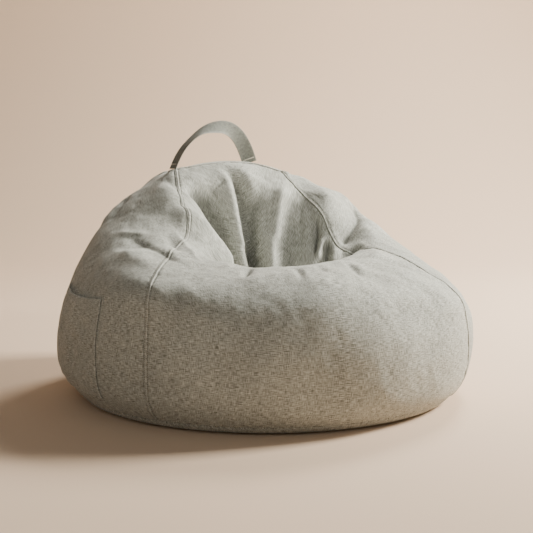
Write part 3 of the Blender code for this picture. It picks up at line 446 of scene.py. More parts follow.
# ---- meshes ------------------------------------------------------------------------------------
def mesh_object(name, points, faces, made_of, uvs=None, wear_and_shading=None):
    """Object from points and faces, with metres of cloth as its UVs."""
    mesh = bpy.data.meshes.new(name)
    mesh.from_pydata([tuple(p) for p in np.asarray(points, float)], [], [tuple(f) for f in faces])
    mesh.update()
    mesh.polygons.foreach_set("use_smooth", [True] * len(mesh.polygons))
    if uvs is not None:
        layer = mesh.uv_layers.new(name="UVMap")
        corner = np.zeros(len(mesh.loops), np.int32)
        mesh.loops.foreach_get("vertex_index", corner)
        layer.data.foreach_set("uv", np.asarray(uvs, np.float32)[corner].ravel())
    # per-point tone for the material: real wear, plus painted highlight on fold ridges and painted shade in
    # fold creases and seam grooves
    if wear_and_shading is not None:
        attribute = mesh.attributes.new("wear_and_shading", "FLOAT", "POINT")
        attribute.data.foreach_set("value", np.asarray(wear_and_shading, np.float32))
    mesh.materials.append(made_of)
    made = bpy.data.objects.new(name, mesh)
    bpy.context.scene.collection.objects.link(made)
    return made


def quad_faces(columns, rows, first=0, flip=False, wrap=False):
    """Quads of a grid stored column by column."""
    i = np.arange(columns if wrap else columns - 1)
    j = np.arange(rows - 1)
    i, j = np.meshgrid(i, j, indexing="ij")
    after = (i + 1) % columns
    corners = np.stack([i * rows + j, after * rows + j, after * rows + j + 1, i * rows + j + 1], -1)
    corners = corners.reshape(-1, 4) + first
    return corners[:, ::-1] if flip else corners


def ring_quads(columns, rows, flip=False):
    """Quads between closed loops of points."""
    i, j = np.meshgrid(np.arange(columns - 1) * rows, np.arange(rows), indexing="ij")
    k = (j + 1) % rows
    quads = np.stack([i + j, i + k, i + rows + k, i + rows + j], -1).reshape(-1, 4)
    return quads[:, (0, 3, 2, 1)] if flip else quads


def bar_faces(columns, rows, flip):
    """Faces of a bar made of closed loops of points, with a flat end at each side."""
    faces = [tuple(quad) for quad in ring_quads(columns, rows, flip)]
    start = tuple(range(rows))
    end = tuple((columns - 1) * rows + j for j in range(rows))
    return faces + ([start, end[::-1]] if flip else [start[::-1], end])


def rim_faces(edge, inner):
    """Quads between a loop of outer vertices and the loop of inner ones behind it."""
    edge = np.asarray(edge)
    inner = np.asarray(inner)
    return np.stack([edge, inner, np.roll(inner, -1), np.roll(edge, -1)], -1)


def border(columns, rows):
    """Indices round the edge of a grid, anticlockwise seen from outside."""
    bottom = np.arange(columns) * rows
    right = (columns - 1) * rows + np.arange(1, rows)
    top = np.arange(columns - 2, -1, -1) * rows + rows - 1
    left = np.arange(rows - 2, 0, -1)
    return np.concatenate([bottom, right, top, left])


def lengths_so_far(points, axis):
    """Running length of cloth along one axis of a grid of points."""
    steps = np.linalg.norm(np.diff(points, axis=axis), axis=2)
    return np.insert(np.cumsum(steps, axis), 0, 0.0, axis)


def cloth_lengths(points):
    """Metres of cloth across and up a grid, as its UVs, from its middle column."""
    u = lengths_so_far(points, 0)
    u = u - u[points.shape[0] // 2][None, :]
    return np.stack([u, lengths_so_far(points, 1)], axis=-1)


def sheet_faces(columns, rows, loops, keep=slice(None)):
    """Faces of both sides of a sheet and of the edges between them."""
    count = columns * rows
    sides = [quad_faces(columns, rows)[keep], quad_faces(columns, rows, first=count, flip=True)[keep]]
    return np.concatenate(sides + [rim_faces(loop, loop + count) for loop in loops])


def both_sides(points, thickness):
    """Points of both sides of a sheet."""
    behind = points - grid_normals(points, False) * thickness
    return np.concatenate([points.reshape(-1, 3), behind.reshape(-1, 3)])


def shell(name, points, thickness, made_of, wear_and_shading=None, lie=None):
    """Closed sheet of cloth behind a grid of outer points; lie is the grid its weave is laid out on."""
    columns, rows = points.shape[:2]
    faces = sheet_faces(columns, rows, [border(columns, rows)])
    uv = cloth_lengths(points if lie is None else lie)
    uvs = np.concatenate([uv.reshape(-1, 2)] * 2)
    tone_marks = None if wear_and_shading is None else np.concatenate([wear_and_shading.ravel()] * 2)
    return mesh_object(name, both_sides(points, thickness), faces, made_of, uvs, tone_marks)


# ---- seams -------------------------------------------------------------------------------------
# Section of a felled seam: distance past the seam line and height over the cover, in millimetres.
# The upper panel runs across the seam line and ends on the lower one, which stops just short of it.
LAP_SECTION = [
    (-12.0, 0.0), (-8.5, -0.05), (-6.2, -0.25), (-4.8, -0.65), (-3.9, -1.15), (-3.2, -1.4),
    (-2.6, -0.7), (-2.0, 0.5), (-1.3, 1.25), (-0.3, 1.5), (0.7, 1.3), (1.5, 0.8), (2.2, 0.25),
    (2.8, 0.15), (3.4, 0.55), (4.0, 0.65), (4.5, 0.5), (4.9, 0.15),
]
TUCK_SECTION = [
    (0.6, -1.6), (3.0, -1.65), (4.6, -1.65), (5.4, -1.45), (6.3, -0.95), (7.8, -0.4), (10.0, -0.1),
    (13.0, 0.0),
]
PINCH_SECTION = [(0.3, -2.4), (0.9, -1.2), (1.8, -0.5), (3.0, -0.15), (5.0, 0.0), (8.0, 0.0)]
FOLD_SECTION = [
    (0.3, -1.2), (0.7, 0.1), (1.6, 0.7), (3.2, 0.6), (4.2, 0.2), (5.0, 0.1), (6.0, 0.45), (7.4, 0.3),
    (9.5, 0.0), (12.0, 0.0),
]
STITCHES_AT = (-3.2, 2.8)
MM = 0.001
PANEL_SPACING = 0.0052
# Small puckers beside every seam: waves, number of waves, height, and where they are strongest.
PUCKER_WAVES, PUCKER_COUNT, PUCKER_SEED = (0.010, 0.022), 24, 5
PUCKER_HEIGHT, PUCKER_AT, PUCKER_WIDTH = 0.00055, 0.008, 0.006
TUCK_REACH = 0.009
# Wear and painted shade beside a seam: how much, how far from the seam line, and how wide; above 0 is paler
# wear on the seam's crest, below 0 a painted shade in a groove.
LAP_WEAR_AND_SHADE = ((0.6, 0.0003, 0.0018), (-1.0, 0.0033, 0.0013), (-1.0, -0.0026, 0.0009))
TUCK_GROOVE_SHADE = ((-1.0, 0.0052, 0.0014),)
# Painted shade and highlight of the folds: blur in grid steps, the relief that is painted at full strength,
# and the strongest painted shade and highlight.
SHADE_BLUR = (14, 12)
SHADE_RELIEF = 0.014
SHADE_MOST = 0.75


def section_lines(section):
    """A seam's section in metres: distances from the seam line inwards over the panel, and heights."""
    distances, heights = np.array(section).T * MM
    if section is LAP_SECTION:
        return -distances[::-1], heights[::-1]
    return distances, heights


def section_height(section, distance):
    """Height of a seam's section over the cover at distances from the seam line."""
    places, heights = section_lines(section)
    return np.interp(distance, places, heights, left=heights[0], right=0.0)


def spaced(total, low, high, spacing):
    """Distances of mesh lines over a length, fine at both edges; total may be an array."""
    middle = max(2, int(round(np.max(total) / spacing)))
    total = np.atleast_1d(total)[:, None]
    start = low[-1]
    end = high[-1]
    shares = (np.arange(1, middle) / middle)[None, :]
    inner = start + (total - start - end) * shares
    first = np.broadcast_to(low[None, :], (len(total), len(low)))
    last = total - high[::-1][None, :]
    return np.concatenate([first, inner, last], axis=1)


def inverse(run, values, wanted):
    """Values at wanted lengths along each row of a run."""
    return np.array([np.interp(w, r, v) for w, r, v in zip(wanted, run, values)])


def panel_places(start, end, first, last, sections):
    """Bearings and levels of a panel's mesh, spaced by real distances, with distances to its edges.
    sections are those of its left, right, bottom and top edges."""
    past_bearing, past_level, fine_count, tall_count = 2.5, 0.25, 260, 320
    fine = np.linspace(start - past_bearing, end + past_bearing, fine_count)
    tall = np.linspace(first - past_level, last + past_level, tall_count)
    run = lengths_so_far(look_up(SHAPE, fine[:, None], tall[None, :]), 1)
    run = run - np.array([np.interp(first, tall, r) for r in run])[:, None]
    length = np.array([np.interp(last, tall, r) for r in run])
    left, right, bottom, top = (section_lines(s)[0] for s in sections)
    ups = spaced(length, bottom, top, PANEL_SPACING)
    levels = inverse(run, np.broadcast_to(tall, run.shape), ups)
    wide = lengths_so_far(look_up(SHAPE, np.broadcast_to(fine[:, None], levels.shape), levels), 0)
    wide = wide - np.array([np.interp(start, fine, w) for w in wide.T])[None, :]
    width = np.array([np.interp(end, fine, w) for w in wide.T])
    acrosses = spaced(width, left, right, PANEL_SPACING)
    bearings = inverse(wide.T, np.broadcast_to(fine, wide.T.shape), acrosses).T
    placed = np.array([np.interp(b, fine, levels[:, j]) for j, b in enumerate(bearings.T)]).T
    up = np.array([np.interp(b, fine, ups[:, j]) for j, b in enumerate(bearings.T)]).T
    whole = np.array([np.interp(b, fine, length) for b in bearings.T]).T
    return bearings, placed, (acrosses.T, width[None, :] - acrosses.T, up, whole - up)


def bell(distance, middle, width):
    """Smooth bump of unit height."""
    return np.exp(-(((distance - middle) / width) ** 2))


def seam_heights(sections, distances, points):
    """Height over the cover that a panel's four seams give, and the wear and painted shade beside them."""
    total = np.zeros(points.shape[:2])
    tone_marks = np.zeros(points.shape[:2])
    random = np.random.default_rng(PUCKER_SEED)
    pucker = ripple(points, PUCKER_WAVES, PUCKER_COUNT, random)
    for section, distance in zip(sections, distances):
        lift = section_height(section, distance)
        if section is TUCK_SECTION:
            total = np.where(distance < TUCK_REACH, np.minimum(total, lift), total + lift)
        else:
            total = total + lift
        total = total + PUCKER_HEIGHT * pucker * bell(distance, PUCKER_AT, PUCKER_WIDTH)
        # paler wear on the lapped seam's crest, and painted shade in the grooves beside lapped and tucked
        # seams
        marks = {id(LAP_SECTION): LAP_WEAR_AND_SHADE, id(TUCK_SECTION): TUCK_GROOVE_SHADE}.get(id(section), ())
        for share, middle, width in marks:
            tone_marks = tone_marks + share * bell(distance, middle, width)
    return total, tone_marks


def fold_shade():
    """Painted light of the folds: above 0 a painted highlight on their ridges and below 0 a painted shade in
    their creases.
    """
    relief = HEIGHTS - blur(HEIGHTS, *SHADE_BLUR)
    return np.clip(relief / SHADE_RELIEF, -SHADE_MOST, SHADE_MOST)


FOLD_SHADE = fold_shade()


# ---- materials ---------------------------------------------------------------------------------
class Nodes:
    """Short way to write a material's nodes."""

    def __init__(self, name, roughness, metallic=0.0):
        self.material = bpy.data.materials.new(name)
        self.material.use_nodes = True
        self.tree = self.material.node_tree
        self.shader = self.tree.nodes["Principled BSDF"]
        self.shader.inputs["Roughness"].default_value = roughness
        self.shader.inputs["Metallic"].default_value = metallic

    def link(self, value, socket):
        """Join a socket to another, or set it to a number, vector or colour."""
        if isinstance(value, bpy.types.NodeSocket):
            self.tree.links.new(value, socket)
        else:
            socket.default_value = value

    def add(self, kind, **inputs):
        node = self.tree.nodes.new(kind)
        for key, value in inputs.items():
            self.link(value, node.inputs[key.replace("_", " ")])
        return node

    def math(self, operation, a, b=0.0):
        node = self.tree.nodes.new("ShaderNodeMath")
        node.operation = operation
        self.link(a, node.inputs[0])
        self.link(b, node.inputs[1])
        return node.outputs[0]

    def weighted(self, *parts):
        """Sum of values, each with its share."""
        total, *others = [self.math("MULTIPLY", value, share) for value, share in parts]
        for other in others:
            total = self.math("ADD", total, other)
        return total

    def cloth_place(self):
        """Metres of cloth across and along."""
        node = self.tree.nodes.new("ShaderNodeUVMap")
        node.uv_map = "UVMap"
        return node.outputs["UV"]

    def object_place(self):
        return self.tree.nodes.new("ShaderNodeTexCoord").outputs["Object"]

    def stretched(self, place, scale):
        return self.add("ShaderNodeMapping", Vector=place, Scale=scale).outputs["Vector"]

    def noise(self, place, scale, detail, roughness):
        noise = self.add("ShaderNodeTexNoise", Vector=place, Scale=scale, Detail=detail, Roughness=roughness)
        return noise.outputs[0]

    def remap(self, value, low, high, to_low, to_high):
        node = self.tree.nodes.new("ShaderNodeMapRange")
        self.link(value, node.inputs["Value"])
        for key, number in (("From Min", low), ("From Max", high), ("To Min", to_low), ("To Max", to_high)):
            node.inputs[key].default_value = number
        return node.outputs[0]

    def ramp(self, value, stops):
        node = self.tree.nodes.new("ShaderNodeValToRGB")
        self.link(value, node.inputs[0])
        marks = node.color_ramp.elements
        while len(marks) < len(stops):
            marks.new(0.5)
        for mark, (place, colour) in zip(marks, stops):
            mark.position = place
            mark.color = (*colour, 1.0)
        return node.outputs[0]

    def mix(self, share, a, b, mode="MIX"):
        node = self.tree.nodes.new("ShaderNodeMix")
        node.data_type = "RGBA"
        node.blend_type = mode
        colours = [s for s in node.inputs if s.type == "RGBA"]
        factor = [s for s in node.inputs if s.type == "VALUE"][0]
        self.link(share, factor)
        self.link(a, colours[0])
        self.link(b, colours[1])
        return [s for s in node.outputs if s.type == "RGBA"][0]

    def colour(self, value):
        self.link(value, self.shader.inputs["Base Color"])

    def finished(self, tone, roughness, height, strength, distance):
        """The material, with its colour, its roughness and a bump of some strength and distance."""
        self.colour(tone)
        self.link(roughness, self.shader.inputs["Roughness"])
        bump = self.add("ShaderNodeBump", Height=height, Strength=strength, Distance=distance)
        self.link(bump.outputs[0], self.shader.inputs["Normal"])
        return self.material

    def sheen(self, weight, roughness, tint):
        self.shader.inputs["Sheen Weight"].default_value = weight
        self.shader.inputs["Sheen Roughness"].default_value = roughness
        self.shader.inputs["Sheen Tint"].default_value = (*tint, 1.0)

    def wear_and_shading(self):
        node = self.tree.nodes.new("ShaderNodeAttribute")
        node.attribute_name = "wear_and_shading"
        return node.outputs["Fac"]


def woven(nodes, place, pitch, slub_length, slub_depth):
    """Height of a plain weave and a 0 to 1 value for how light each thread is."""
    split = nodes.add("ShaderNodeSeparateXYZ", Vector=place)
    turns = [nodes.math("MULTIPLY", split.outputs[axis], 2.0 * math.pi / pitch) for axis in (0, 1)]
    weave = nodes.math("MULTIPLY", *[nodes.math("SINE", turn) for turn in turns])
    thin = 1.0 / (0.8 * pitch)
    short = 1.0 / (0.8 * slub_length)
    scales = ((short, thin, 1.0), (thin, short, 1.0), (1.0 / slub_length, thin, 1.0))
    weft, warp, slub = (nodes.noise(nodes.stretched(place, scale), 1.0, 1.0, 0.5) for scale in scales)
    thread = nodes.weighted((weft, 0.38), (warp, 0.36), (slub, 0.26))
    return nodes.weighted((weave, 0.35), (thread, slub_depth)), thread


def linen(name, dark, middle, light):
    """Heathered linen: slubbed threads, soft blotches, a dry sheen, paler worn edges, a painted highlight on
    fold ridges and painted shade in fold creases and seam grooves.
    """
    nodes = Nodes(name, 0.92)
    place = nodes.cloth_place()
    height, thread = woven(nodes, place, LINEN_PITCH, LINEN_SLUB, LINEN_SLUB_DEPTH)
    tone = nodes.ramp(thread, [(0.385, dark), (0.5, middle), (0.615, light)])
    blotch = nodes.noise(nodes.object_place(), 9.0, 3.0, 0.6)
    shade = nodes.remap(blotch, 0.3, 0.7, 0.93, 1.06)
    grey = nodes.add("ShaderNodeCombineColor", Red=shade, Green=shade, Blue=shade).outputs[0]
    tone = nodes.mix(1.0, tone, grey, "MULTIPLY")
    fleck = nodes.noise(nodes.stretched(place, (420.0, 420.0, 1.0)), 1.0, 1.0, 0.5)
    flecks = nodes.remap(fleck, 0.66, 0.78, 0.0, 0.35)
    tone = nodes.mix(flecks, tone, (0.115, 0.095, 0.07, 1.0))
    wear_and_shading = nodes.wear_and_shading()
    crest = nodes.remap(wear_and_shading, 0.0, 1.0, 0.0, 1.0)  # below 0 is painted shade, not a crest
    # paler tone: worn seam crests and edges, and a painted highlight on fold ridges
    tone_marks = nodes.math("MULTIPLY", crest, nodes.remap(thread, 0.3, 0.7, 0.10, 0.30))
    tone = nodes.mix(tone_marks, tone, (*[min(1.0, c * 1.2) for c in light], 1.0))
    # painted shade: darker tone in seam grooves and fold creases
    tone = nodes.mix(nodes.remap(wear_and_shading, -1.0, 0.0, 0.62, 0.0), tone, (*[c * 0.35 for c in dark], 1.0))
    nodes.sheen(0.22, 0.45, (0.95, 0.92, 0.86))
    return nodes.finished(tone, nodes.remap(thread, 0.3, 0.7, 0.97, 0.86), height, 0.45, 0.0006)


def webbing(name):
    """Flat woven tape with close ribs across it."""
    nodes = Nodes(name, 0.85)
    place = nodes.cloth_place()
    split = nodes.add("ShaderNodeSeparateXYZ", Vector=place)
    chevron = 0.0076
    within = nodes.math("MODULO", nodes.math("ADD", split.outputs[0], 1.0), chevron)
    skew = nodes.math("ABSOLUTE", nodes.math("SUBTRACT", within, chevron / 2.0))
    slant = nodes.math("ADD", split.outputs[1], nodes.math("MULTIPLY", skew, 0.9))
    ribs = nodes.math("SINE", nodes.math("MULTIPLY", slant, 2.0 * math.pi / 0.0022))
    cords = nodes.math("SINE", nodes.math("MULTIPLY", split.outputs[0], 2.0 * math.pi / 0.0019))
    fuzz = nodes.noise(nodes.stretched(place, (900.0, 160.0, 1.0)), 1.0, 2.0, 0.6)
    stops = [(0.3, (0.105, 0.11, 0.09)), (0.5, (0.18, 0.187, 0.158)), (0.7, (0.30, 0.305, 0.265))]
    tone = nodes.ramp(fuzz, stops)
    tone_marks = nodes.math("MULTIPLY", nodes.wear_and_shading(), 0.35)
    tone = nodes.mix(tone_marks, tone, (0.56, 0.55, 0.48, 1.0))
    height = nodes.weighted((ribs, 0.6), (cords, 0.3))
    nodes.sheen(0.15, 0.4, (0.95, 0.92, 0.86))
    return nodes.finished(tone, nodes.remap(fuzz, 0.3, 0.7, 0.92, 0.78), height, 0.5, 0.0005)


def simple_cloth(name, dark, light, pitch, roughness, sheen=0.1):
    """Fine plain cloth for the inner bag, tapes and labels; its weave follows the object's own axes."""
    nodes = Nodes(name, roughness)
    place = nodes.object_place()
    grain = nodes.noise(place, 1.0 / pitch, 2.0, 0.6)
    broad = nodes.noise(place, 14.0, 3.0, 0.6)
    tone = nodes.ramp(nodes.weighted((grain, 0.6), (broad, 0.4)), [(0.35, dark), (0.65, light)])
    rough = nodes.remap(broad, 0.3, 0.7, roughness - 0.06, roughness + 0.05)
    nodes.sheen(sheen, 0.4, (1.0, 1.0, 1.0))
    return nodes.finished(tone, rough, grain, 0.35, 0.0004)


def thread_look(name, dark, light):
    """Twisted sewing thread."""
    nodes = Nodes(name, 0.7)
    place = nodes.object_place()
    twist = nodes.noise(nodes.stretched(place, (1500.0, 1500.0, 1500.0)), 1.0, 2.0, 0.6)
    broad = nodes.noise(place, 30.0, 2.0, 0.5)
    tone = nodes.ramp(nodes.weighted((twist, 0.5), (broad, 0.5)), [(0.38, dark), (0.62, light)])
    nodes.sheen(0.2, 0.3, (1.0, 0.97, 0.92))
    return nodes.finished(tone, nodes.remap(twist, 0.3, 0.7, 0.62, 0.82), twist, 0.3, 0.0002)


def metal_look(name, dark, light):
    """Antiqued zinc with handling marks."""
    nodes = Nodes(name, 0.35, 1.0)
    place = nodes.object_place()
    marks = nodes.noise(nodes.stretched(place, (900.0, 250.0, 900.0)), 1.0, 4.0, 0.65)
    patches = nodes.noise(place, 220.0, 3.0, 0.6)
    tone = nodes.ramp(patches, [(0.35, dark), (0.65, light)])
    return nodes.finished(tone, nodes.remap(marks, 0.3, 0.7, 0.24, 0.50), marks, 0.12, 0.0002)


def plastic_look(name, dark, light, roughness):
    """Moulded plastic with a faint grain."""
    nodes = Nodes(name, roughness)
    place = nodes.object_place()
    grain = nodes.noise(place, 1400.0, 2.0, 0.5)
    broad = nodes.noise(place, 60.0, 2.0, 0.5)
    tone = nodes.ramp(broad, [(0.35, dark), (0.65, light)])
    rough = nodes.remap(grain, 0.3, 0.7, roughness - 0.08, roughness + 0.08)
    return nodes.finished(tone, rough, grain, 0.15, 0.0002)


def bead_look(name):
    """Heap of small polystyrene beads."""
    nodes = Nodes(name, 0.6)
    place = nodes.object_place()
    cells = nodes.add("ShaderNodeTexVoronoi", Vector=place)
    cells.inputs["Scale"].default_value = 210.0
    distance = cells.outputs["Distance"]
    # painted shade: darker towards the edge of each bead's cell, in the gaps between beads
    stops = [(0.0, (0.93, 0.93, 0.91)), (0.45, (0.88, 0.88, 0.85)), (0.8, (0.55, 0.55, 0.52))]
    height = nodes.math("MULTIPLY", distance, -1.0)
    rough = nodes.remap(distance, 0.0, 0.7, 0.5, 0.75)
    return nodes.finished(nodes.ramp(distance, stops), rough, height, 0.8, 0.002)


LINEN_DARK = (0.138, 0.140, 0.115)
LINEN_MIDDLE = (0.350, 0.352, 0.302)
LINEN_LIGHT = (0.640, 0.640, 0.570)
# Pitch of the threads, length of their thick stretches, and how much those stand out of the weave.
LINEN_PITCH, LINEN_SLUB, LINEN_SLUB_DEPTH = 0.0013, 0.016, 1.6


# ---- pieces ------------------------------------------------------------------------------------
def zip_top_level():
    """Level on the back where the zip's upper edge is."""
    levels = np.linspace(0.0, 1.0, 401)
    line = look_up(COVER, np.full(401, 180.0), levels)
    return float(levels[np.argmax(np.linalg.norm(line - line[0], axis=1) >= ZIP_WIDTH)])


def top_cap(made_of):
    """Small panel at the head of the bag, tucked under the ends of the upright panels."""
    edge = section_lines(TUCK_SECTION)[0]
    bearings = np.linspace(-180.0, 180.0, 181)[:-1]
    depth = np.linalg.norm(at(bearings, LAST_LEVEL) - at(bearings, CAP_LEVEL), axis=1)
    shares = np.concatenate([edge / depth.mean(), np.linspace(0.0, 1.0, 18)[3:-1]])
    shares = np.unique(np.round(np.clip(shares, 0.0, 0.985), 4))
    levels = CAP_LEVEL + shares
    points = at(bearings[:, None], levels[None, :])
    distance = shares[None, :] * depth[:, None]
    lift = section_height(TUCK_SECTION, distance)
    out = facing(bearings[:, None], np.minimum(levels, LAST_OUT)[None, :])
    points = points + out * lift[..., None]
    return capped_shell("top_cap_cloth", points, at(0.0, LAST_LEVEL), CLOTH, made_of)


# Length of cloth from the base seam down to the edge of the floor patch, for one level.
BASE_DROP = 0.0194


def base_panel(made_of):
    """Round panel under the bag, turned up at its edge to the base seam."""
    bearings = np.linspace(-180.0, 180.0, 361)[:-1]
    drop = np.array((0.0003, 0.001, 0.002, 0.0035, 0.006, 0.009)) / BASE_DROP
    levels = np.concatenate([-drop, [-0.6, -0.75, -0.9, -1.0]])
    points = look_up(COVER, bearings[:, None], levels[None, :])
    out = look_up(COVER_OUT, bearings[:, None], levels[None, :])
    lift = section_height(PINCH_SECTION, -levels * BASE_DROP)
    points = points + out * lift[None, :, None]
    inner = [ring(FLOOR_RADIUS * share, 0.0, bearings) for share in (0.93, 0.8, 0.6, 0.4, 0.2, 0.08)]
    points = np.concatenate([points, np.stack(inner, axis=1)], axis=1)
    points = points[::-1]
    return capped_shell("base_panel_cloth", points, np.zeros(3), CLOTH, made_of)


def capped_shell(name, points, middle, thickness, made_of):
    """Round sheet of cloth from rings that close on a middle point."""
    columns, rows = points.shape[:2]
    out = grid_normals(points, wrap=True)
    out[:, -1] = out[:, -2]
    ended = out[:, -1].mean(axis=0)
    ended = ended / np.linalg.norm(ended)
    count = columns * rows
    top = 2 * count
    behind = points - out * thickness
    rims = np.arange(columns) * rows
    last = rims + rows - 1
    after = np.roll(last, -1)
    fan = np.stack([last, after, np.full(columns, top)], -1)
    back = np.stack([after + count, last + count, np.full(columns, top + 1)], -1)
    faces = list(quad_faces(columns, rows, wrap=True))
    faces += list(quad_faces(columns, rows, first=count, flip=True, wrap=True))
    faces += list(rim_faces(rims, rims + count)) + list(fan) + list(back)
    flat = points.reshape(-1, 3)
    everything = np.concatenate([flat, behind.reshape(-1, 3), [middle], [middle - ended * thickness]])
    uvs = everything[:, :2]
    return mesh_object(name, everything, faces, made_of, uvs, np.zeros(len(everything)))


# ---- pocket ------------------------------------------------------------------------------------
POCKET = (-98.5, -68.5, 0.7, 3.25)
POCKET_COLUMNS, POCKET_ROWS = 76, 72
POCKET_SAG = 0.10
POCKET_GAP = 0.0008
POCKET_LEAST_GAP = 0.0004
POCKET_SWELL, POCKET_SWELL_REACH = 0.0045, 0.075
POCKET_RUMPLE, POCKET_RUMPLE_REACH = 0.0011, 0.03
POCKET_HEM, POCKET_HEM_WIDTH, POCKET_HEM_EDGE = 0.0010, 0.016, 0.004
# Ridges and stitch grooves: height, distance from the edge, width.
POCKET_EDGE_MARKS = ((0.0011, 0.0025, 0.0022), (-0.0005, 0.0065, 0.0016))
POCKET_HEM_MARKS = ((-0.0007, 0.0185, 0.0016),)
POCKET_WEAR_WIDTH = 0.003


def side_pocket(made_of):
    """Patch pocket: stitched along its sides and foot, slack and hemmed along its mouth."""
    start, end, low, high = POCKET
    u = np.linspace(0.0, 1.0, POCKET_COLUMNS)
    v = np.linspace(0.0, 1.0, POCKET_ROWS)
    bearings = (start + (end - start) * u)[:, None] + 0.0 * v[None, :]
    sag = POCKET_SAG * np.sin(np.pi * u)[:, None] * smoothstep((v - 0.6) / 0.4)[None, :]
    levels = low + (high - low) * v[None, :] - sag
    points = at(bearings, levels)
    width = np.linalg.norm(at(end, 2.0) - at(start, 2.0))
    height = np.linalg.norm(at((start + end) / 2.0, high) - at((start + end) / 2.0, low))
    side = np.minimum(u, 1.0 - u)[:, None] * width + 0.0 * v[None, :]
    foot = v[None, :] * height + 0.0 * u[:, None]
    head = (1.0 - v)[None, :] * height + 0.0 * u[:, None]
    edge = np.minimum(side, foot)
    rumple = ripple(points, (0.030, 0.070), 26, np.random.default_rng(23))
    swell = smoothstep(edge / POCKET_SWELL_REACH) * (0.4 + 0.6 * v[None, :])
    lift = POCKET_GAP + CLOTH + POCKET_SWELL * swell
    lift = lift + POCKET_RUMPLE * rumple * smoothstep(edge / POCKET_RUMPLE_REACH)
    lift = lift + POCKET_HEM * (1.0 - smoothstep((head - POCKET_HEM_WIDTH) / POCKET_HEM_EDGE))
    for distance, marks in ((edge, POCKET_EDGE_MARKS), (head, POCKET_HEM_MARKS)):
        for rise, middle, mark_width in marks:
            lift = lift + rise * bell(distance, middle, mark_width)
    lift = np.maximum(lift, POCKET_LEAST_GAP + CLOTH)
    tone_marks = np.maximum(bell(edge, 0.0, POCKET_WEAR_WIDTH), bell(head, 0.0, POCKET_WEAR_WIDTH))
    points = points + facing(bearings, levels) * lift[..., None]
    return shell("side_pocket_cloth", points, CLOTH, made_of, tone_marks)


# Bar-tacks: length, width, height, and how many zigzags.
FOOT_TACK, FOOT_TACK_TEETH = (0.0304, 0.004, 0.0014), 12
POCKET_TACK, POCKET_TACK_TEETH = (0.014, 0.003, 0.0014), 8


def bar_tack(name, centre, along, normal, size, teeth, made_of):
    """Bar-tack: a ridge of close zigzag stitches."""
    length, width, height = size
    along = Vector(along).normalized()
    normal = Vector(normal).normalized()
    side = normal.cross(along).normalized()
    normal = along.cross(side).normalized()
    columns, rows = teeth * 4 + 1, 13
    points = np.zeros((columns, rows, 3))
    for i in range(columns):
        s = i / (columns - 1)
        wave = 0.78 + 0.22 * math.cos(2.0 * math.pi * s * teeth)
        round_end = math.sqrt(max(0.0, 1.0 - (2.0 * s - 1.0) ** 8))
        for j in range(rows):
            angle = 2.0 * math.pi * j / rows
            a = along * (s - 0.5) * length
            b = side * math.cos(angle) * width / 2.0 * wave * round_end
            c = normal * (math.sin(angle) * height / 2.0 * wave * round_end + height * 0.3)
            points[i, j] = Vector(centre) + a + b + c
    return mesh_object(name, points.reshape(-1, 3), bar_faces(columns, rows, False), made_of)


# ---- stitches ----------------------------------------------------------------------------------
STITCH_PITCH = 0.0038
STITCH_LENGTH = 0.0027
STITCH_RADIUS = 0.00042


def stitch_row(line, out):
    """Points and faces of a row of stitches that dip into the cloth at both ends."""
    run = run_along(line)
    count = int(run[-1] / STITCH_PITCH)
    if count < 1:
        return np.zeros((0, 3)), np.zeros((0, 4), int)
    sides, rings = 6, 5
    starts = (np.arange(count) + 0.5) * run[-1] / count - STITCH_LENGTH / 2.0
    shares = np.linspace(0.0, 1.0, rings)
    places = starts[:, None] + shares[None, :] * STITCH_LENGTH
    centre = np.stack([np.interp(places, run, line[:, k]) for k in range(3)], -1)
    normal = unit(np.stack([np.interp(places, run, out[:, k]) for k in range(3)], -1))
    side = np.cross(unit(centre[:, -1] - centre[:, 0])[:, None, :], normal)
    arch = np.sin(np.pi * shares)
    centre = centre + normal * (STITCH_RADIUS * (1.6 * arch - 0.9))[None, :, None]
    radius = STITCH_RADIUS * (0.55 + 0.45 * arch)
    turns = 2.0 * np.pi * np.arange(sides) / sides
    ring_points = (
        centre[:, :, None, :]
        + radius[None, :, None, None]
        * (
            np.cos(turns)[None, None, :, None] * side[:, :, None, :]
            + np.sin(turns)[None, None, :, None] * normal[:, :, None, :]
        )
    )
    each = sides * rings
    cap = np.array([[0, 1, 2, 3], [0, 3, 4, 5]])
    pattern = np.concatenate([ring_quads(rings, sides)[:, ::-1], cap, each - 1 - cap])
    faces = pattern[None] + (np.arange(count) * each)[:, None, None]
    return ring_points.reshape(-1, 3), faces.reshape(-1, 4)


def stitches(name, rows, made_of):
    """One object from many rows of stitches, each a line of points with its outward directions."""
    points, faces, count = [], [], 0
    for line, out in rows:
        p, f = stitch_row(line, out)
        points.append(p)
        faces.append(f + count)
        count += len(p)
    return mesh_object(name, np.concatenate(points), np.concatenate(faces), made_of)


def row_on_panel(points, distances, at_distance, upright):
    """Line across a panel's mesh at a real distance from one of its edges."""
    both = np.concatenate([points, grid_normals(points, False)], axis=2)
    if upright:
        both, distances = both.transpose(1, 0, 2), distances.T
    line = []
    for place, distance in zip(both, distances):
        order = np.argsort(distance)
        line.append([np.interp(at_distance, distance[order], part) for part in place[order].T])
    line = np.array(line)
    return line[:, :3], unit(line[:, 3:])


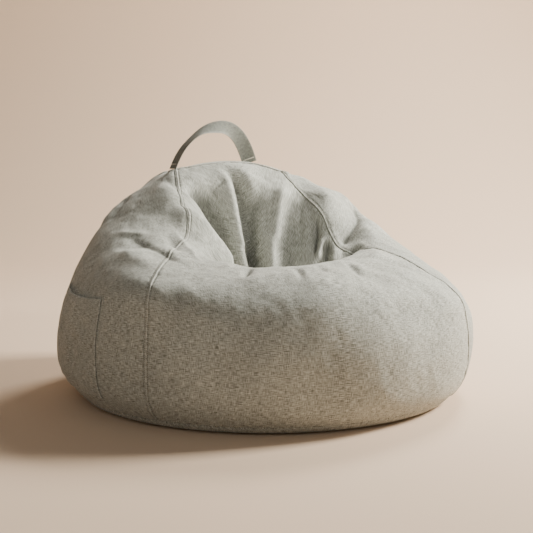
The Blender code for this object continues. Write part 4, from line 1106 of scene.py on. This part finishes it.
# ---- carry handle ------------------------------------------------------------------------------
STRAP_WIDTH = 0.038
STRAP_THICKNESS = 0.0024
STRAP_PATH = [
    ((-0.151, 0.256, 0.507), (-0.20, 0.96, -0.16)),
    ((-0.136, 0.261, 0.537), (-0.20, 0.96, -0.12)),
    ((-0.109, 0.270, 0.567), (-0.05, 0.99, 0.05)),
    ((-0.078, 0.278, 0.590), (0.12, 0.95, 0.25)),
    ((-0.040, 0.286, 0.602), (0.24, 0.75, 0.60)),
    ((-0.008, 0.293, 0.603), (0.32, 0.52, 0.78)),
    ((0.016, 0.299, 0.594), (0.45, 0.22, 0.85)),
    ((0.036, 0.304, 0.574), (0.78, 0.02, 0.55)),
    ((0.051, 0.308, 0.549), (0.95, -0.08, 0.20)),
    ((0.065, 0.312, 0.513), (0.99, -0.08, -0.10)),
]


def strap_section(turns):
    """Rounded flat section: shares of the width and of the thickness."""
    power = 0.28
    c, s = np.cos(turns), np.sin(turns)
    return np.sign(c) * np.abs(c) ** power * 0.5, np.sign(s) * np.abs(s) ** 0.75 * 0.5


def strap_line(steps):
    """Places along the webbing with its centre, width direction and thickness direction there."""
    centres = np.array([c for c, _ in STRAP_PATH])
    widths = np.array([w for _, w in STRAP_PATH])
    run = run_along(centres)
    places = np.linspace(0.0, run[-1], steps)
    matrix = spline_matrix(run, places)
    centre = matrix @ centres
    side = matrix @ widths
    way = unit(np.gradient(centre, axis=0))
    side = unit(side - (side * way).sum(axis=1, keepdims=True) * way)
    return places, centre, side, np.cross(side, way)


def carry_strap(made_of):
    """The whole webbing handle with both of its sewn feet."""
    steps = 110
    places, centre, side, normal = strap_line(steps)
    count = 44
    turns = 2.0 * np.pi * (np.arange(count) + 0.5) / count
    a, b = strap_section(turns)
    cup = 0.0010 * (1.0 - (2.0 * a) ** 2)
    random = np.random.default_rng(3)
    wobble = 0.0006 * ripple(centre, (0.05, 0.11), 12, random)
    points = (
        centre[:, None, :]
        + side[:, None, :] * (a * STRAP_WIDTH)[None, :, None]
        + normal[:, None, :] * ((b * STRAP_THICKNESS + cup)[None, :, None] + wobble[:, None, None])
    )
    faces = bar_faces(steps, count, True)
    u = np.broadcast_to((a * STRAP_WIDTH)[None, :], (steps, count))
    v = np.broadcast_to(places[:, None], (steps, count))
    tone_marks = np.broadcast_to((np.abs(a) * 2.0)[None, :] ** 6, (steps, count))
    uvs = np.stack([u, v], -1).reshape(-1, 2)
    made = mesh_object("carry_handle_webbing", points.reshape(-1, 3), faces, made_of, uvs, tone_marks.ravel())
    return made, float(places[-1])


def foot_bartacks(made_of):
    """Bar-tacks across both feet of the webbing, on the side that faces the seat."""
    _, centre, side, normal = strap_line(31)
    made = []
    for name, k in (("handle_bartack_left_stitches", 1), ("handle_bartack_right_stitches", 29)):
        out = normal[k] if normal[k][1] < 0.0 else -normal[k]
        middle = centre[k] + out * (STRAP_THICKNESS / 2.0 + 0.0004)
        made.append(bar_tack(name, middle, side[k], out, FOOT_TACK, FOOT_TACK_TEETH, made_of))
    return made


# ---- zips and label ----------------------------------------------------------------------------
LINER_INSET = 0.013
LINER_THICKNESS = 0.001
ZIP_TAPE_THICKNESS = 0.0010
TAPE_EDGES = (0.0049, 0.0119)
LINER_ZIP_LEVELS = (1.33, 1.435, 1.54)
LINER_ZIP_HALF_SPAN = 26.0
LINER_ZIP_LIFT = 0.0008
END_CLEARANCE = 0.3


class ZipLine:
    """Where a zip runs: a band of a cone about the upright axis, centred on the back."""

    def __init__(self, middle, up, half_span):
        self.middle = middle
        self.up = up / np.linalg.norm(up)
        self.out = np.array((self.up[1], -self.up[0]))
        self.start = 180.0 - half_span
        self.end = 180.0 + half_span

    def grid(self, bearings, across, out):
        """Points on the band: across is up the cloth and out is away from the filling."""
        place = self.middle + self.up * across[:, None] + self.out * out[:, None]
        return ring(place[None, :, 0], place[None, :, 1], bearings[:, None])


def outer_zip_line():
    """Band between the base panel and the back panel."""
    low, high = look_up(COVER, np.full(2, 180.0), np.array((0.0, zip_top_level())))[:, 1:]
    return ZipLine((low + high) / 2.0, high - low, 180.0 - BACK_SEAM - END_CLEARANCE)


def liner_zip_line():
    """Band on the outside of the inner bag, low on the back."""
    low, middle, high = look_up(COVER, np.full(3, 180.0), np.array(LINER_ZIP_LEVELS))[:, 1:]
    line = ZipLine(middle, high - low, LINER_ZIP_HALF_SPAN)
    line.middle = middle - line.out * (LINER_INSET - LINER_ZIP_LIFT)
    return line


def zip_tape(name, line, side, made_of):
    """Woven tape beside the teeth, with a slightly thicker edge next to them."""
    across = np.linspace(*TAPE_EDGES, 9)
    rise = 0.0005 - 0.0002 * smoothstep((across - TAPE_EDGES[0]) / 0.0022)
    if side < 0:
        across = -across[::-1]
        rise = rise[::-1]
    bearings = np.linspace(line.start, line.end, 181)
    return shell(name, line.grid(bearings, across, rise), ZIP_TAPE_THICKNESS, made_of)


def zip_garage(line, made_of):
    """Small hemmed hood of the cover's cloth over the closed end of the zip."""
    low, high, stand_off, reach, steps = -0.009, 0.018, 0.0042, 0.0265, 33
    bearings = np.linspace(line.start - 0.1, line.start + 3.4, steps)
    across = np.linspace(low, high, steps)
    points = line.grid(bearings, across, np.full(steps, stand_off))
    run = np.linspace(0.0, reach, steps)
    edge = np.minimum((reach - run)[:, None], np.minimum(across - low, high - across)[None, :])
    lift = 0.0004 * bell(edge, 0.0012, 0.0012) - 0.0004 * bell(edge, 0.0042, 0.0009)
    tone_marks = bell(edge, 0.0, 0.0015)
    out = grid_normals(points, False)
    return shell("zip_garage_cloth", points + out * lift[..., None], 0.0012, made_of, tone_marks)


LABEL_MIDDLE, LABEL_HALF_WIDTH = 119.5, 2.5
LABEL_FOOT, LABEL_HEIGHT = 0.25, 0.80
LABEL_THICKNESS = 0.0008


def care_label(made_of):
    """Blank folded label held by the base seam, its free corners lifting a little."""
    u = np.linspace(-1.0, 1.0, 25)[:, None]
    v = np.linspace(0.0, 1.0, 29)[None, :]
    bearings = LABEL_MIDDLE + LABEL_HALF_WIDTH * u + 0.0 * v
    levels = LABEL_FOOT + LABEL_HEIGHT * v + 0.0 * u
    lift = 0.0018 + 0.0007 * v**2 * u**2 + 0.0002 * np.sin(9.0 * v + 2.0 * u)
    points = at(bearings, levels) + facing(bearings, levels) * lift[..., None]
    return shell("care_label_cloth", points, LABEL_THICKNESS, made_of)


def pocket_bartacks(made_of):
    """Bar-tacks at both ends of the pocket's mouth."""
    made = []
    for name, bearing in (("front", POCKET[1] + 0.55), ("back", POCKET[0] - 0.55)):
        low, middle, high = at(np.full(3, bearing), np.array((3.05, 3.2, 3.35)))
        out = facing(np.full(1, bearing), np.full(1, 3.2))[0]
        centre = middle + out * 0.0003
        name = "pocket_bartack_" + name + "_stitches"
        made.append(bar_tack(name, centre, high - low, out, POCKET_TACK, POCKET_TACK_TEETH, made_of))
    return made


# ---- inner bag and beads -----------------------------------------------------------------------
# Blurs in grid steps, how far the eased folds may stand over the cover's, and where folds begin.
FIRST_EASE, SECOND_EASE, LAST_EASE = (6, 6), (5, 5), (3, 3)
EASE_OVER = 0.004
INNER_FOLDS_FROM, INNER_FOLDS_RISE = 1.6, 1.0


def inner_shape(inset, levels, bearings):
    """The folded cover, eased and moved inwards."""
    eased = blur(np.minimum(HEIGHTS, blur(HEIGHTS, *FIRST_EASE)), *SECOND_EASE)
    slack = blur(np.minimum(eased, HEIGHTS + EASE_OVER), *LAST_EASE)
    points = look_up(COVER, bearings[:, None], levels[None, :])
    out = unit(look_up(COVER_OUT, bearings[:, None], np.minimum(levels, LAST_OUT)[None, :]))
    height = look_up(slack, bearings[:, None], levels[None, :])
    height = height * smoothstep((levels - INNER_FOLDS_FROM) / INNER_FOLDS_RISE)[None, :]
    return points + out * (height - inset)[..., None]


INNER_STEPS = np.concatenate(
    [np.linspace(-1.0, 0.0, 4), np.linspace(0.0, CAP_LEVEL, 111)[1:], np.linspace(CAP_LEVEL, 10.93, 6)[1:]]
)
BEAD_INSET = 0.0195
SPLIT_GAP = 0.12


def greatest_lengths(points):
    """Greatest lengths of cloth across and along a grid of points."""
    across = np.linalg.norm(np.diff(points, axis=0), axis=2).sum(axis=0).max()
    along = np.linalg.norm(np.diff(points, axis=1), axis=2).sum(axis=1).max()
    return float(across), float(along)


def liner_half(name, start, end, made_of, slot):
    """Half of the inner bag, from the middle of its base to the middle of its head."""
    bearings = np.linspace(start + SPLIT_GAP, end - SPLIT_GAP, 141)
    points = inner_shape(LINER_INSET, INNER_STEPS, bearings)
    base = [ring(FLOOR_RADIUS * share, LINER_INSET, bearings) for share in (0.02, 0.3, 0.6, 0.85)]
    points = np.concatenate([np.stack(base, axis=1), points], axis=1)
    size = greatest_lengths(points)
    if slot is None:
        return shell(name, points, LINER_THICKNESS, made_of), size
    levels = np.concatenate([[-9.0] * 4, INNER_STEPS])
    low = int(np.searchsorted(levels, slot[2]))
    high = int(np.searchsorted(levels, slot[3]))
    first = int(np.searchsorted(bearings, slot[0]))
    last = int(np.searchsorted(bearings, slot[1]))
    for index, level in ((low, slot[2]), (high, slot[3])):
        fixed = inner_shape(LINER_INSET, np.array([level]), bearings)[:, 0]
        points[:, index] = fixed
    return slotted_shell(name, points, LINER_THICKNESS, made_of, (first, last, low, high)), size


def slotted_shell(name, points, thickness, made_of, hole):
    """Closed sheet of cloth with one rectangular slot."""
    columns, rows = points.shape[:2]
    first, last, low, high = hole
    i = np.repeat(np.arange(columns - 1), rows - 1)
    j = np.tile(np.arange(rows - 1), columns - 1)
    keep = ~((i >= first) & (i < last) & (j >= low) & (j < high))
    bottom = np.arange(first, last) * rows + low
    right = last * rows + np.arange(low, high)
    top = np.arange(last, first, -1) * rows + high
    left = first * rows + np.arange(high, low, -1)
    slot = np.concatenate([bottom, right, top, left])[::-1]
    faces = sheet_faces(columns, rows, [border(columns, rows), slot], keep)
    everything = both_sides(points, thickness)
    used = np.unique(faces)
    renumber = np.zeros(len(everything), int)
    renumber[used] = np.arange(len(used))
    return mesh_object(name, everything[used], renumber[faces], made_of)


def bead_mass(made_of):
    """The loose beads as one soft mass."""
    bearings = np.linspace(-180.0, 180.0, 241)[:-1]
    points = inner_shape(BEAD_INSET, INNER_STEPS, bearings)
    base = [ring(FLOOR_RADIUS * share, BEAD_INSET, bearings) for share in (0.1, 0.4, 0.7, 0.9)]
    points = np.concatenate([np.stack(base, axis=1), points], axis=1)
    columns, rows = points.shape[:2]
    faces = list(quad_faces(columns, rows, wrap=True))
    bottom, top = columns * rows, columns * rows + 1
    first = np.arange(columns) * rows
    last = first + rows - 1
    faces += [(bottom, b, a) for a, b in zip(first, np.roll(first, -1))]
    faces += [(a, b, top) for a, b in zip(last, np.roll(last, -1))]
    ends = [(0.0, 0.0, BEAD_INSET), CAP_CENTRE - (0.0, 0.0, BEAD_INSET + 0.001)]
    everything = np.concatenate([points.reshape(-1, 3), ends])
    return mesh_object("bead_mass", everything, faces, made_of)


# ---- build -------------------------------------------------------------------------------------
linen_cover = linen("linen_cover", LINEN_DARK, LINEN_MIDDLE, LINEN_LIGHT)
strap_look = webbing("linen_webbing")
thread = thread_look("sewing_thread", (0.46, 0.42, 0.34), (0.66, 0.62, 0.53))
liner_cloth = simple_cloth("liner_cloth", (0.72, 0.71, 0.67), (0.85, 0.84, 0.80), 0.0012, 0.75)
tape_cloth = simple_cloth("zip_tape", (0.24, 0.22, 0.19), (0.36, 0.33, 0.29), 0.0009, 0.88)
label_satin = simple_cloth("label_satin", (0.80, 0.79, 0.75), (0.90, 0.89, 0.86), 0.0006, 0.45, 0.3)
tooth_plastic = plastic_look("zip_teeth", (0.28, 0.26, 0.23), (0.38, 0.36, 0.32), 0.42)
zip_metal = metal_look("zip_metal", (0.36, 0.34, 0.31), (0.52, 0.50, 0.46))
beads = bead_look("polystyrene_beads")

zip_top = zip_top_level()
FELLED = (LAP_SECTION, LAP_SECTION, PINCH_SECTION, LAP_SECTION)
TUCKED = (TUCK_SECTION, TUCK_SECTION, PINCH_SECTION, LAP_SECTION)
BY_ZIP = (LAP_SECTION, LAP_SECTION, FOLD_SECTION, LAP_SECTION)


def placed(made, nodes, slot):
    """Put a finished piece in the place of CAD nodes of the bag."""
    if nodes:
        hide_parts(*nodes)
    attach(made, "bag")
    return made


def panel_with_stitches(node, start, end, sections, first):
    """One upright panel and the rows of stitches on it."""
    bearings, levels, distances = panel_places(start, end, first, CAP_LEVEL, sections)
    points = look_up(SHAPE, bearings, levels)
    lift, tone_marks = seam_heights(sections, distances, points)
    # painted shade in the folds' creases and painted highlight on their ridges, added to the seams' wear and
    # groove shade
    tone_marks = tone_marks + look_up(FOLD_SHADE, bearings, levels)
    points = points + facing(bearings, levels) * lift[..., None]
    lie = look_up(COVER, bearings, levels)
    made = shell(node + "_cloth", points, CLOTH, linen_cover, tone_marks, lie)
    rows = []
    for index, section in enumerate(sections):
        if section is LAP_SECTION:
            for place in STITCHES_AT:
                rows.append(row_on_panel(points, distances[index], -place * MM, index < 2))
        if section is FOLD_SECTION:
            rows.append(row_on_panel(points, distances[index], 0.005, False))
    placed(made, [node], "linen_cover")
    sides = np.cross(np.diff(points, axis=0)[:, :-1], np.diff(points, axis=1)[:-1])
    return made, rows, (*greatest_lengths(points), float(np.linalg.norm(sides, axis=2).sum()))


all_rows = []
for node, start, end, sections, first in (
    ("front_panel", -FRONT_SEAM, FRONT_SEAM, FELLED, 0.0),
    ("right_side_panel", FRONT_SEAM, BACK_SEAM, TUCKED, 0.0),
    ("back_panel", BACK_SEAM, 360.0 - BACK_SEAM, BY_ZIP, zip_top),
    ("left_side_panel", -BACK_SEAM, -FRONT_SEAM, TUCKED, 0.0),
):
    made, rows, (width, length, area) = panel_with_stitches(node, start, end, sections, first)
    all_rows.extend(rows)


cap = placed(top_cap(linen_cover), ["top_cap"], "linen_cover")
base = placed(base_panel(linen_cover), ["base_panel"], "linen_cover")
pocket = placed(side_pocket(linen_cover), ["side_pocket"], "linen_cover")
placed(stitches("seam_stitches", all_rows, thread), [], "thread")

strap, strap_length = carry_strap(strap_look)
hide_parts("carry_handle", "handle_foot_left", "handle_foot_right")
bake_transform(strap)
for made, node in zip(foot_bartacks(thread), ("handle_bartack_left", "handle_bartack_right")):
    placed(made, [node], "thread")
for made, node in zip(pocket_bartacks(thread), ("pocket_bartack_front", "pocket_bartack_back")):
    placed(made, [node], "thread")

outer_zip = outer_zip_line()
liner_zip = liner_zip_line()
for kind, line in (("outer", outer_zip), ("liner", liner_zip)):
    for end, side in (("upper", 1), ("lower", -1)):
        name = kind + "_zip_tape_" + end
        placed(zip_tape(name + "_cloth", line, side, tape_cloth), [name], "zip_tape")
garage = placed(zip_garage(outer_zip, linen_cover), ["outer_zip_garage"], "linen_cover")
label = placed(care_label(label_satin), ["care_label"], "label_satin")

SLOT = (180.0 - LINER_ZIP_HALF_SPAN, 180.0 + LINER_ZIP_HALF_SPAN, LINER_ZIP_LEVELS[0], LINER_ZIP_LEVELS[2])
for node, start, end, slot in (
    ("liner_front_half", -90.0, 90.0, None),
    ("liner_back_half", 90.0, 270.0, SLOT),
):
    half, size = liner_half(node + "_cloth", start, end, liner_cloth, slot)
    placed(half, [node], "liner_cloth")
mass = placed(bead_mass(beads), ["bead_fill"], "polystyrene_beads")

CARRIED = (
    (tooth_plastic, ["outer_zip_teeth_upper", "outer_zip_teeth_lower"]),
    (tooth_plastic, ["liner_zip_coil_upper", "liner_zip_coil_lower"]),
    (zip_metal, ["outer_zip_slider", "outer_zip_pull", "outer_zip_top_stop", "outer_zip_bottom_stop"]),
    (zip_metal, ["liner_zip_slider", "liner_zip_pull"]),
)
for made_of, names in CARRIED:
    for name in names:
        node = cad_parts[name]
        node.data.materials.clear()
        node.data.materials.append(made_of)

# ---- stage, camera, light ----------------------------------------------------------------------
PAPER_COLOUR = (0.71, 0.53, 0.38)
CAMERA_AZIMUTH, CAMERA_ELEVATION, CAMERA_DISTANCE = math.radians(-19.5), math.radians(8.0), 3.3
CAMERA_TARGET = Vector((0.0, 0.0, 0.293))
CAMERA_LENS, CAMERA_SENSOR = 95.95, 36.0
# Lamps: place, aim, size, watts, colour, and how wide the light spreads in degrees.
LAMPS = {
    "key": ((2.84, -0.28, 1.80), (0.0, 0.0, 0.2), (0.75, 0.75), 290.0, (1.0, 0.975, 0.905), 180.0),
    "rim": ((1.9, 1.7, 2.5), (0.0, 0.1, 0.25), (0.9, 0.9), 120.0, (1.0, 0.98, 0.92), 180.0),
    "face": ((1.2, -2.3, 2.0), (-0.02, 0.24, 0.50), (0.4, 0.4), 0.9, (1.0, 0.98, 0.92), 24.0),
    "fill": ((-1.9, -3.3, 1.9), (0.0, 0.0, 0.2), (2.6, 2.0), 21.0, (0.94, 0.97, 0.98), 180.0),
}
WORLD_LIGHT, WORLD_STRENGTH = (1.0, 0.93, 0.82, 1.0), 0.165
WORLD_SEEN = (0.66, 0.53, 0.42, 1.0)


def plain(name, colour, roughness):
    """One even colour."""
    nodes = Nodes(name, roughness)
    nodes.colour((*colour, 1.0))
    return nodes.material


def either_shader(tree, share, first, second, output):
    """Show the second shader instead of the first where share is 1."""
    either = tree.nodes.new("ShaderNodeMixShader")
    for index, value in enumerate((share, first, second)):
        tree.links.new(value, either.inputs[index])
    tree.links.new(either.outputs[0], output.inputs["Surface"])


def paper(name, colour, roughness):
    """Matt paper that a camera behind it looks through, so that every view shows the bag."""
    made_of = plain(name, colour, roughness)
    tree = made_of.node_tree
    output = next(node for node in tree.nodes if node.type == "OUTPUT_MATERIAL")
    surface = output.inputs["Surface"].links[0].from_socket
    behind = tree.nodes.new("ShaderNodeNewGeometry").outputs["Backfacing"]
    clear = tree.nodes.new("ShaderNodeBsdfTransparent")
    either_shader(tree, behind, surface, clear.outputs[0], output)
    return made_of


def stage_sheet():
    """Floor that curves up into a backdrop behind the bag."""
    half, front, bend, curve, height, steps = 14.0, -14.0, 3.2, 1.2, 5.0, 12
    profile = [(front, 0.0), (bend - curve, 0.0)]
    for k in range(1, steps + 1):
        angle = math.pi / 2.0 * k / steps
        profile.append((bend - curve + curve * math.sin(angle), curve - curve * math.cos(angle)))
    profile.append((bend, height))
    turn = Matrix.Rotation(CAMERA_AZIMUTH, 3, "Z")
    points = []
    for y, z in profile:
        for x in (-half, half):
            points.append(turn @ Vector((x, y, z)))
    faces = [(2 * i, 2 * i + 1, 2 * i + 3, 2 * i + 2) for i in range(len(profile) - 1)]
    return mesh_object("studio_floor", points, faces, paper("studio_paper", PAPER_COLOUR, 0.9))


floor = stage_sheet()


def aimed(name, data, place, aim):
    """Camera or lamp at a place, looking at another."""
    made = bpy.data.objects.new(name, data)
    made.location = place
    made.rotation_euler = (Vector(aim) - Vector(place)).to_track_quat("-Z", "Y").to_euler()
    bpy.context.scene.collection.objects.link(made)
    return made


def studio_camera():
    """Camera at the photograph's angle."""
    data = bpy.data.cameras.new("camera")
    data.lens = CAMERA_LENS
    data.sensor_width = CAMERA_SENSOR
    level = math.cos(CAMERA_ELEVATION)
    way = (math.sin(CAMERA_AZIMUTH) * level, -math.cos(CAMERA_AZIMUTH) * level, math.sin(CAMERA_ELEVATION))
    return aimed("camera", data, CAMERA_TARGET + CAMERA_DISTANCE * Vector(way), CAMERA_TARGET)


def lamp(name, place, aim, size, power, colour, spread):
    """Rectangular soft light."""
    data = bpy.data.lights.new(name, "AREA")
    data.shape = "RECTANGLE"
    data.size, data.size_y = size
    data.energy = power
    data.color = colour
    data.spread = math.radians(spread)
    aimed(name, data, place, aim)


def studio_world():
    """Dim warm light from all round; a camera that looks past the paper sees a paler shade."""
    made = bpy.data.worlds.new("studio")
    made.use_nodes = True
    tree = made.node_tree
    light = tree.nodes["Background"]
    light.inputs["Color"].default_value = WORLD_LIGHT
    light.inputs["Strength"].default_value = WORLD_STRENGTH
    seen = tree.nodes.new("ShaderNodeBackground")
    seen.inputs["Color"].default_value = WORLD_SEEN
    by_camera = tree.nodes.new("ShaderNodeLightPath").outputs["Is Camera Ray"]
    either_shader(tree, by_camera, light.outputs[0], seen.outputs[0], tree.nodes["World Output"])
    return made


bpy.context.scene.camera = studio_camera()
for name, settings in LAMPS.items():
    lamp(name, *settings)
bpy.context.scene.world = studio_world()
